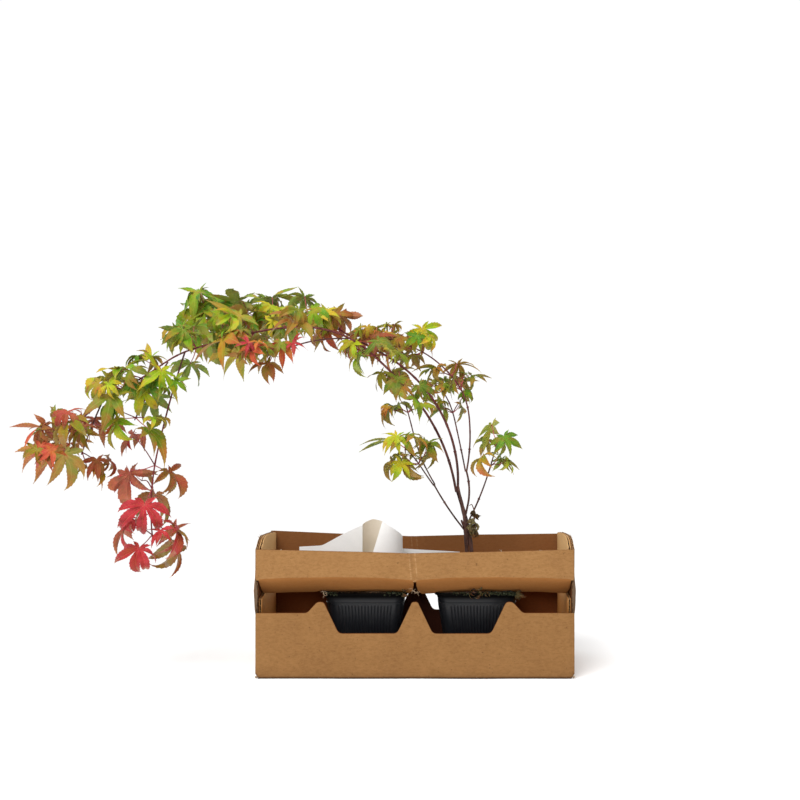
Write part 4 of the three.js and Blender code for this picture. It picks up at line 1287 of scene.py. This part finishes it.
def litter(dry, moss):
    """Dead leaves caught by the trunk's fork and lying on the pots' rims, with moss and crumbs."""
    draw = np.random.default_rng(31)
    batch = Batch()
    for x, y, z, climb, bearing, size in DEAD_LEAVES:
        lead = heading(climb, bearing)
        leaf = {"base": np.array([x, y, z], float), "middle": lead, "size": size, "curl": 0.5}
        leaf["face"] = turned(square_to(lead), lead, draw.uniform(-2, 2))
        opening = DEAD["opening"] if z > HEAD else 1
        blade(batch, leaf, draw, draw.uniform(0, 1), 1, DEAD["teeth"], opening)
    rod(batch, DRY_TWIG, np.linspace(1, 0.4, len(DRY_TWIG)), 1.5, 8, 0.4)
    batch.build("dead_leaves", dry, "leaf_amber")
    batch = Batch()
    for hand, start, end, count in MOSS:
        for _ in range(count):
            hang = draw.uniform(0, 1) ** 2
            x = POT_X[hand] + draw.uniform(start, end)
            y = -POT["rim"] - 0.4 if hang > 0.3 else -POT["rim"] + draw.uniform(0, 5)
            spot = np.array([x, y, FOOT + POT["height"] + 0.5 - 4 * max(0, hang - 0.3)])
            batch.add(spot + crumb(draw, draw.uniform(0.7, 2)), CRUMB_FACES, (0, 0, draw.uniform(0, 1)))
    batch.build("moss", moss, "compost")


def trunk(bark):
    """Two strands that part at the foot, twist half round each other and lead into the two arches."""
    low, high = STATIONS[0][1], STATIONS[-1][1]
    z = np.arange(low, high + 1, 1.2)
    centre = xyz(TRUNK_X + reader(STATIONS, 0, 1)(z), 0, z)
    apart = reader(STRAND_PART)(z)
    radii = np.maximum(STRAND["least"], reader(STATIONS, 2, 1)(z) - apart)
    angle = np.pi * (z - TWIST["start"]) / TWIST["rise"]
    rough = ripples(7, 5)
    ridges = ripples(8, 2.2)
    batch = Batch()
    for hand in (-1, 1):
        def relief(points, turn):
            spots = around(points, turn, 3)
            flare = np.exp(-(points[:, 2] - 79) / 5)[:, None] * 0.18 * np.cos(5 * turn + hand)
            return 1 + 0.07 * rough(spots) + 0.05 * ridges(spots * (1, 1, 0.25)) + flare

        strand = centre + xyz(hand * apart * np.cos(angle), hand * apart * np.sin(angle), 0)
        tube(batch, strand, radii, STRAND["sides"], 0, relief)
    rod(batch, STUB, [2, 1.6, 1.1], 1, 10, 0.1)
    batch.build("trunk_bark", bark, "bark", ["trunk"], sharp=60)


def stem_tube(batch, points, radii, young, sunk):
    """A limb as one tapering tube with swollen joints and a pair of small buds at each. It starts
    so far back that it is sunk into what it grows from."""
    back = np.asarray(points[0]) - unit(np.asarray(points[1]) - points[0]) * (radii[0] + GAP + sunk)
    line, thick, at = smooth_line([back, *points], [radii[0], *radii], 2)
    seed = int(at[-1] * 10)
    draw = np.random.default_rng(seed)
    joints = np.cumsum(draw.uniform(*JOINTS["apart"], int(at[-1] / 28)))
    swell = sum((hump(at - j, JOINTS["reach"]) for j in joints), np.zeros_like(at))
    rough = ripples(seed, 4)
    tone = young * np.clip(at / 120, 0.15, 1)
    swollen = thick * (1 + JOINTS["swell"] * swell)
    tube(batch, line, swollen, 9, tone, lambda p, turn: 1 + 0.05 * rough(around(p, turn)))
    for k, j in enumerate(joints):
        i = int(np.searchsorted(at, j))
        if i + 2 >= len(line):
            continue
        forward = unit(line[i + 1] - line[i])
        out = turned(square_to(forward), forward, k * math.pi / 2 + draw.uniform(-0.4, 0.4))
        for sign in (-1, 1):
            foot = line[i] + out * sign * thick[i] * 0.6
            tip = foot + out * sign * draw.uniform(0.7, 1.3) + forward * draw.uniform(1.2, 2.4)
            rod(batch, [foot, (foot + tip) / 2, tip], JOINTS["bud"], 0.6, 6, 0.6)


def plant(bark, red_stalk):
    spine = [np.array([TRUNK_X + lean, 0, z]) for lean, z, _ in STATIONS]
    paths = {"trunk": (spine, [radius for _, _, radius in STATIONS])}
    stems = Batch()
    stalks = Batch()
    leaves = {tint: Batch() for tint in LEAVES}
    replaced = {tint: [] for tint in LEAVES}
    boughs = []
    for start, climb, bearing, (thick, thin, young), stretches in LIMBS:
        whole = sum(s[1] for s in stretches)
        here = start_of(start, climb, bearing, thick, paths)
        limb, limb_radii, done = [here], [thick], 0
        for name, length, bend, swing, *sprays in stretches:
            points = walk(here, climb, bearing, length, bend, swing)
            radii = [thick + (thin - thick) * (done + length * i / (len(points) - 1)) / whole
                     for i in range(len(points))]
            paths[name] = (points, radii)
            limb += points[1:]
            limb_radii += radii[1:]
            here, climb, bearing, done = points[-1], climb + bend, bearing + swing, done + length
            for spray in sprays:
                leafy(paths[name], spray, stems, stalks, leaves)
                replaced[spray.tint].append(name)
            if not sprays:
                boughs.append(name)
        stem_tube(stems, limb, limb_radii, young, 4 if start[0] == "trunk" else 0.6)
    stems.build("stems", bark, "bark", boughs, sharp=60)
    stalks.build("leaf_stalks", red_stalk, "bark", (), sharp=60)
    for tint, (slot, *looks) in LEAVES.items():
        made = leaf_material("leaf_" + tint, *looks)
        leaves[tint].build("maple_leaves_" + tint, made, "leaf_" + slot, replaced[tint], sharp=45)


def leafy(path, spray, stems, stalks, leaves):
    """A spray's leaves and side twigs."""
    def pick(draw):
        choice = TINTS[spray.tint]
        return choice[int(draw.integers(len(choice)))]

    for i, leaf in enumerate(leaves_on(path, spray)):
        draw = np.random.default_rng(spray.seed * 100 + i)
        tint, tone = pick(draw), draw.uniform(0, 1)
        wilt = max(draw.uniform(0, 1) ** 1.5, spray.wilt)
        blade(leaves[tint], leaf, draw, tone, wilt)
        stalk(stalks, leaf)
        if i % 2 == 0 or not spray.thin:
            side_twig(stems, stalks, leaves, pick, leaf, spray, draw)


# The studio
def stage():
    """A white floor under even white light, with a large soft light above and to the left."""
    mesh = bpy.data.meshes.new("floor")
    turn = np.linspace(0, 2 * np.pi, 64, endpoint=False)
    rim = xyz(FLOOR["radius"] * np.cos(turn), FLOOR["radius"] * np.sin(turn) + FLOOR["y"], 0)
    mesh.from_pydata(rim.tolist(), [], [list(range(len(rim)))])
    mesh.materials.append(floor_material())
    add_object("floor", mesh)
    world = bpy.data.worlds.new("studio")
    world.use_nodes = True
    height = split(node(world.node_tree, "TexCoord", output="Generated"))[2]
    background = world.node_tree.nodes["Background"]
    fill(background.inputs["Strength"], height.to(*SKY["band"], SKY["low"], SKY["top"]))
    fill(background.inputs["Color"], (1, 1, 1))
    bpy.context.scene.world = world
    data = bpy.data.lights.new("key", "AREA")
    data.energy = KEY["power"]
    data.size = KEY["size"]
    light = add_object("key", data)
    light.location = KEY["spot"]
    way = Vector(KEY["aim"]) - Vector(KEY["spot"])
    light.rotation_euler = way.to_track_quat("-Z", "Y").to_euler()
    bpy.context.scene.view_settings.view_transform = "Standard"


def camera():
    """The photograph's view: level, with its vanishing point right of and above the middle."""
    data = bpy.data.cameras.new("camera")
    data.sensor_width = 36
    data.lens = CAMERA["lens"]
    data.shift_x = CAMERA["shift"]
    data.shift_y = CAMERA["shift"]
    data.clip_end = 100
    eye = add_object("camera", data)
    eye.location = CAMERA["spot"]
    eye.rotation_euler = (math.pi / 2, 0, 0)
    bpy.context.scene.camera = eye


camera()
stage()
carrier(board_material(BOARD_TONES, BOARD_KINDS))
plastic = plastic_material()
soil = compost_material("compost", (0.012, 0.008, 0.005), (0.04, 0.024, 0.013), (0.16, 0.09, 0.045))
for number, hand in enumerate(POT_X):
    pot(plastic, hand)
    compost(soil, hand, 20 + number * 5)
label(paper_material())
bark = bark_material()
trunk(bark)
litter(leaf_material("leaf_dry", *DRY_LEAF),
       compost_material("moss", (0.01, 0.012, 0.006), (0.032, 0.036, 0.017), (0.11, 0.13, 0.08)))
plant(bark, stalk_material())
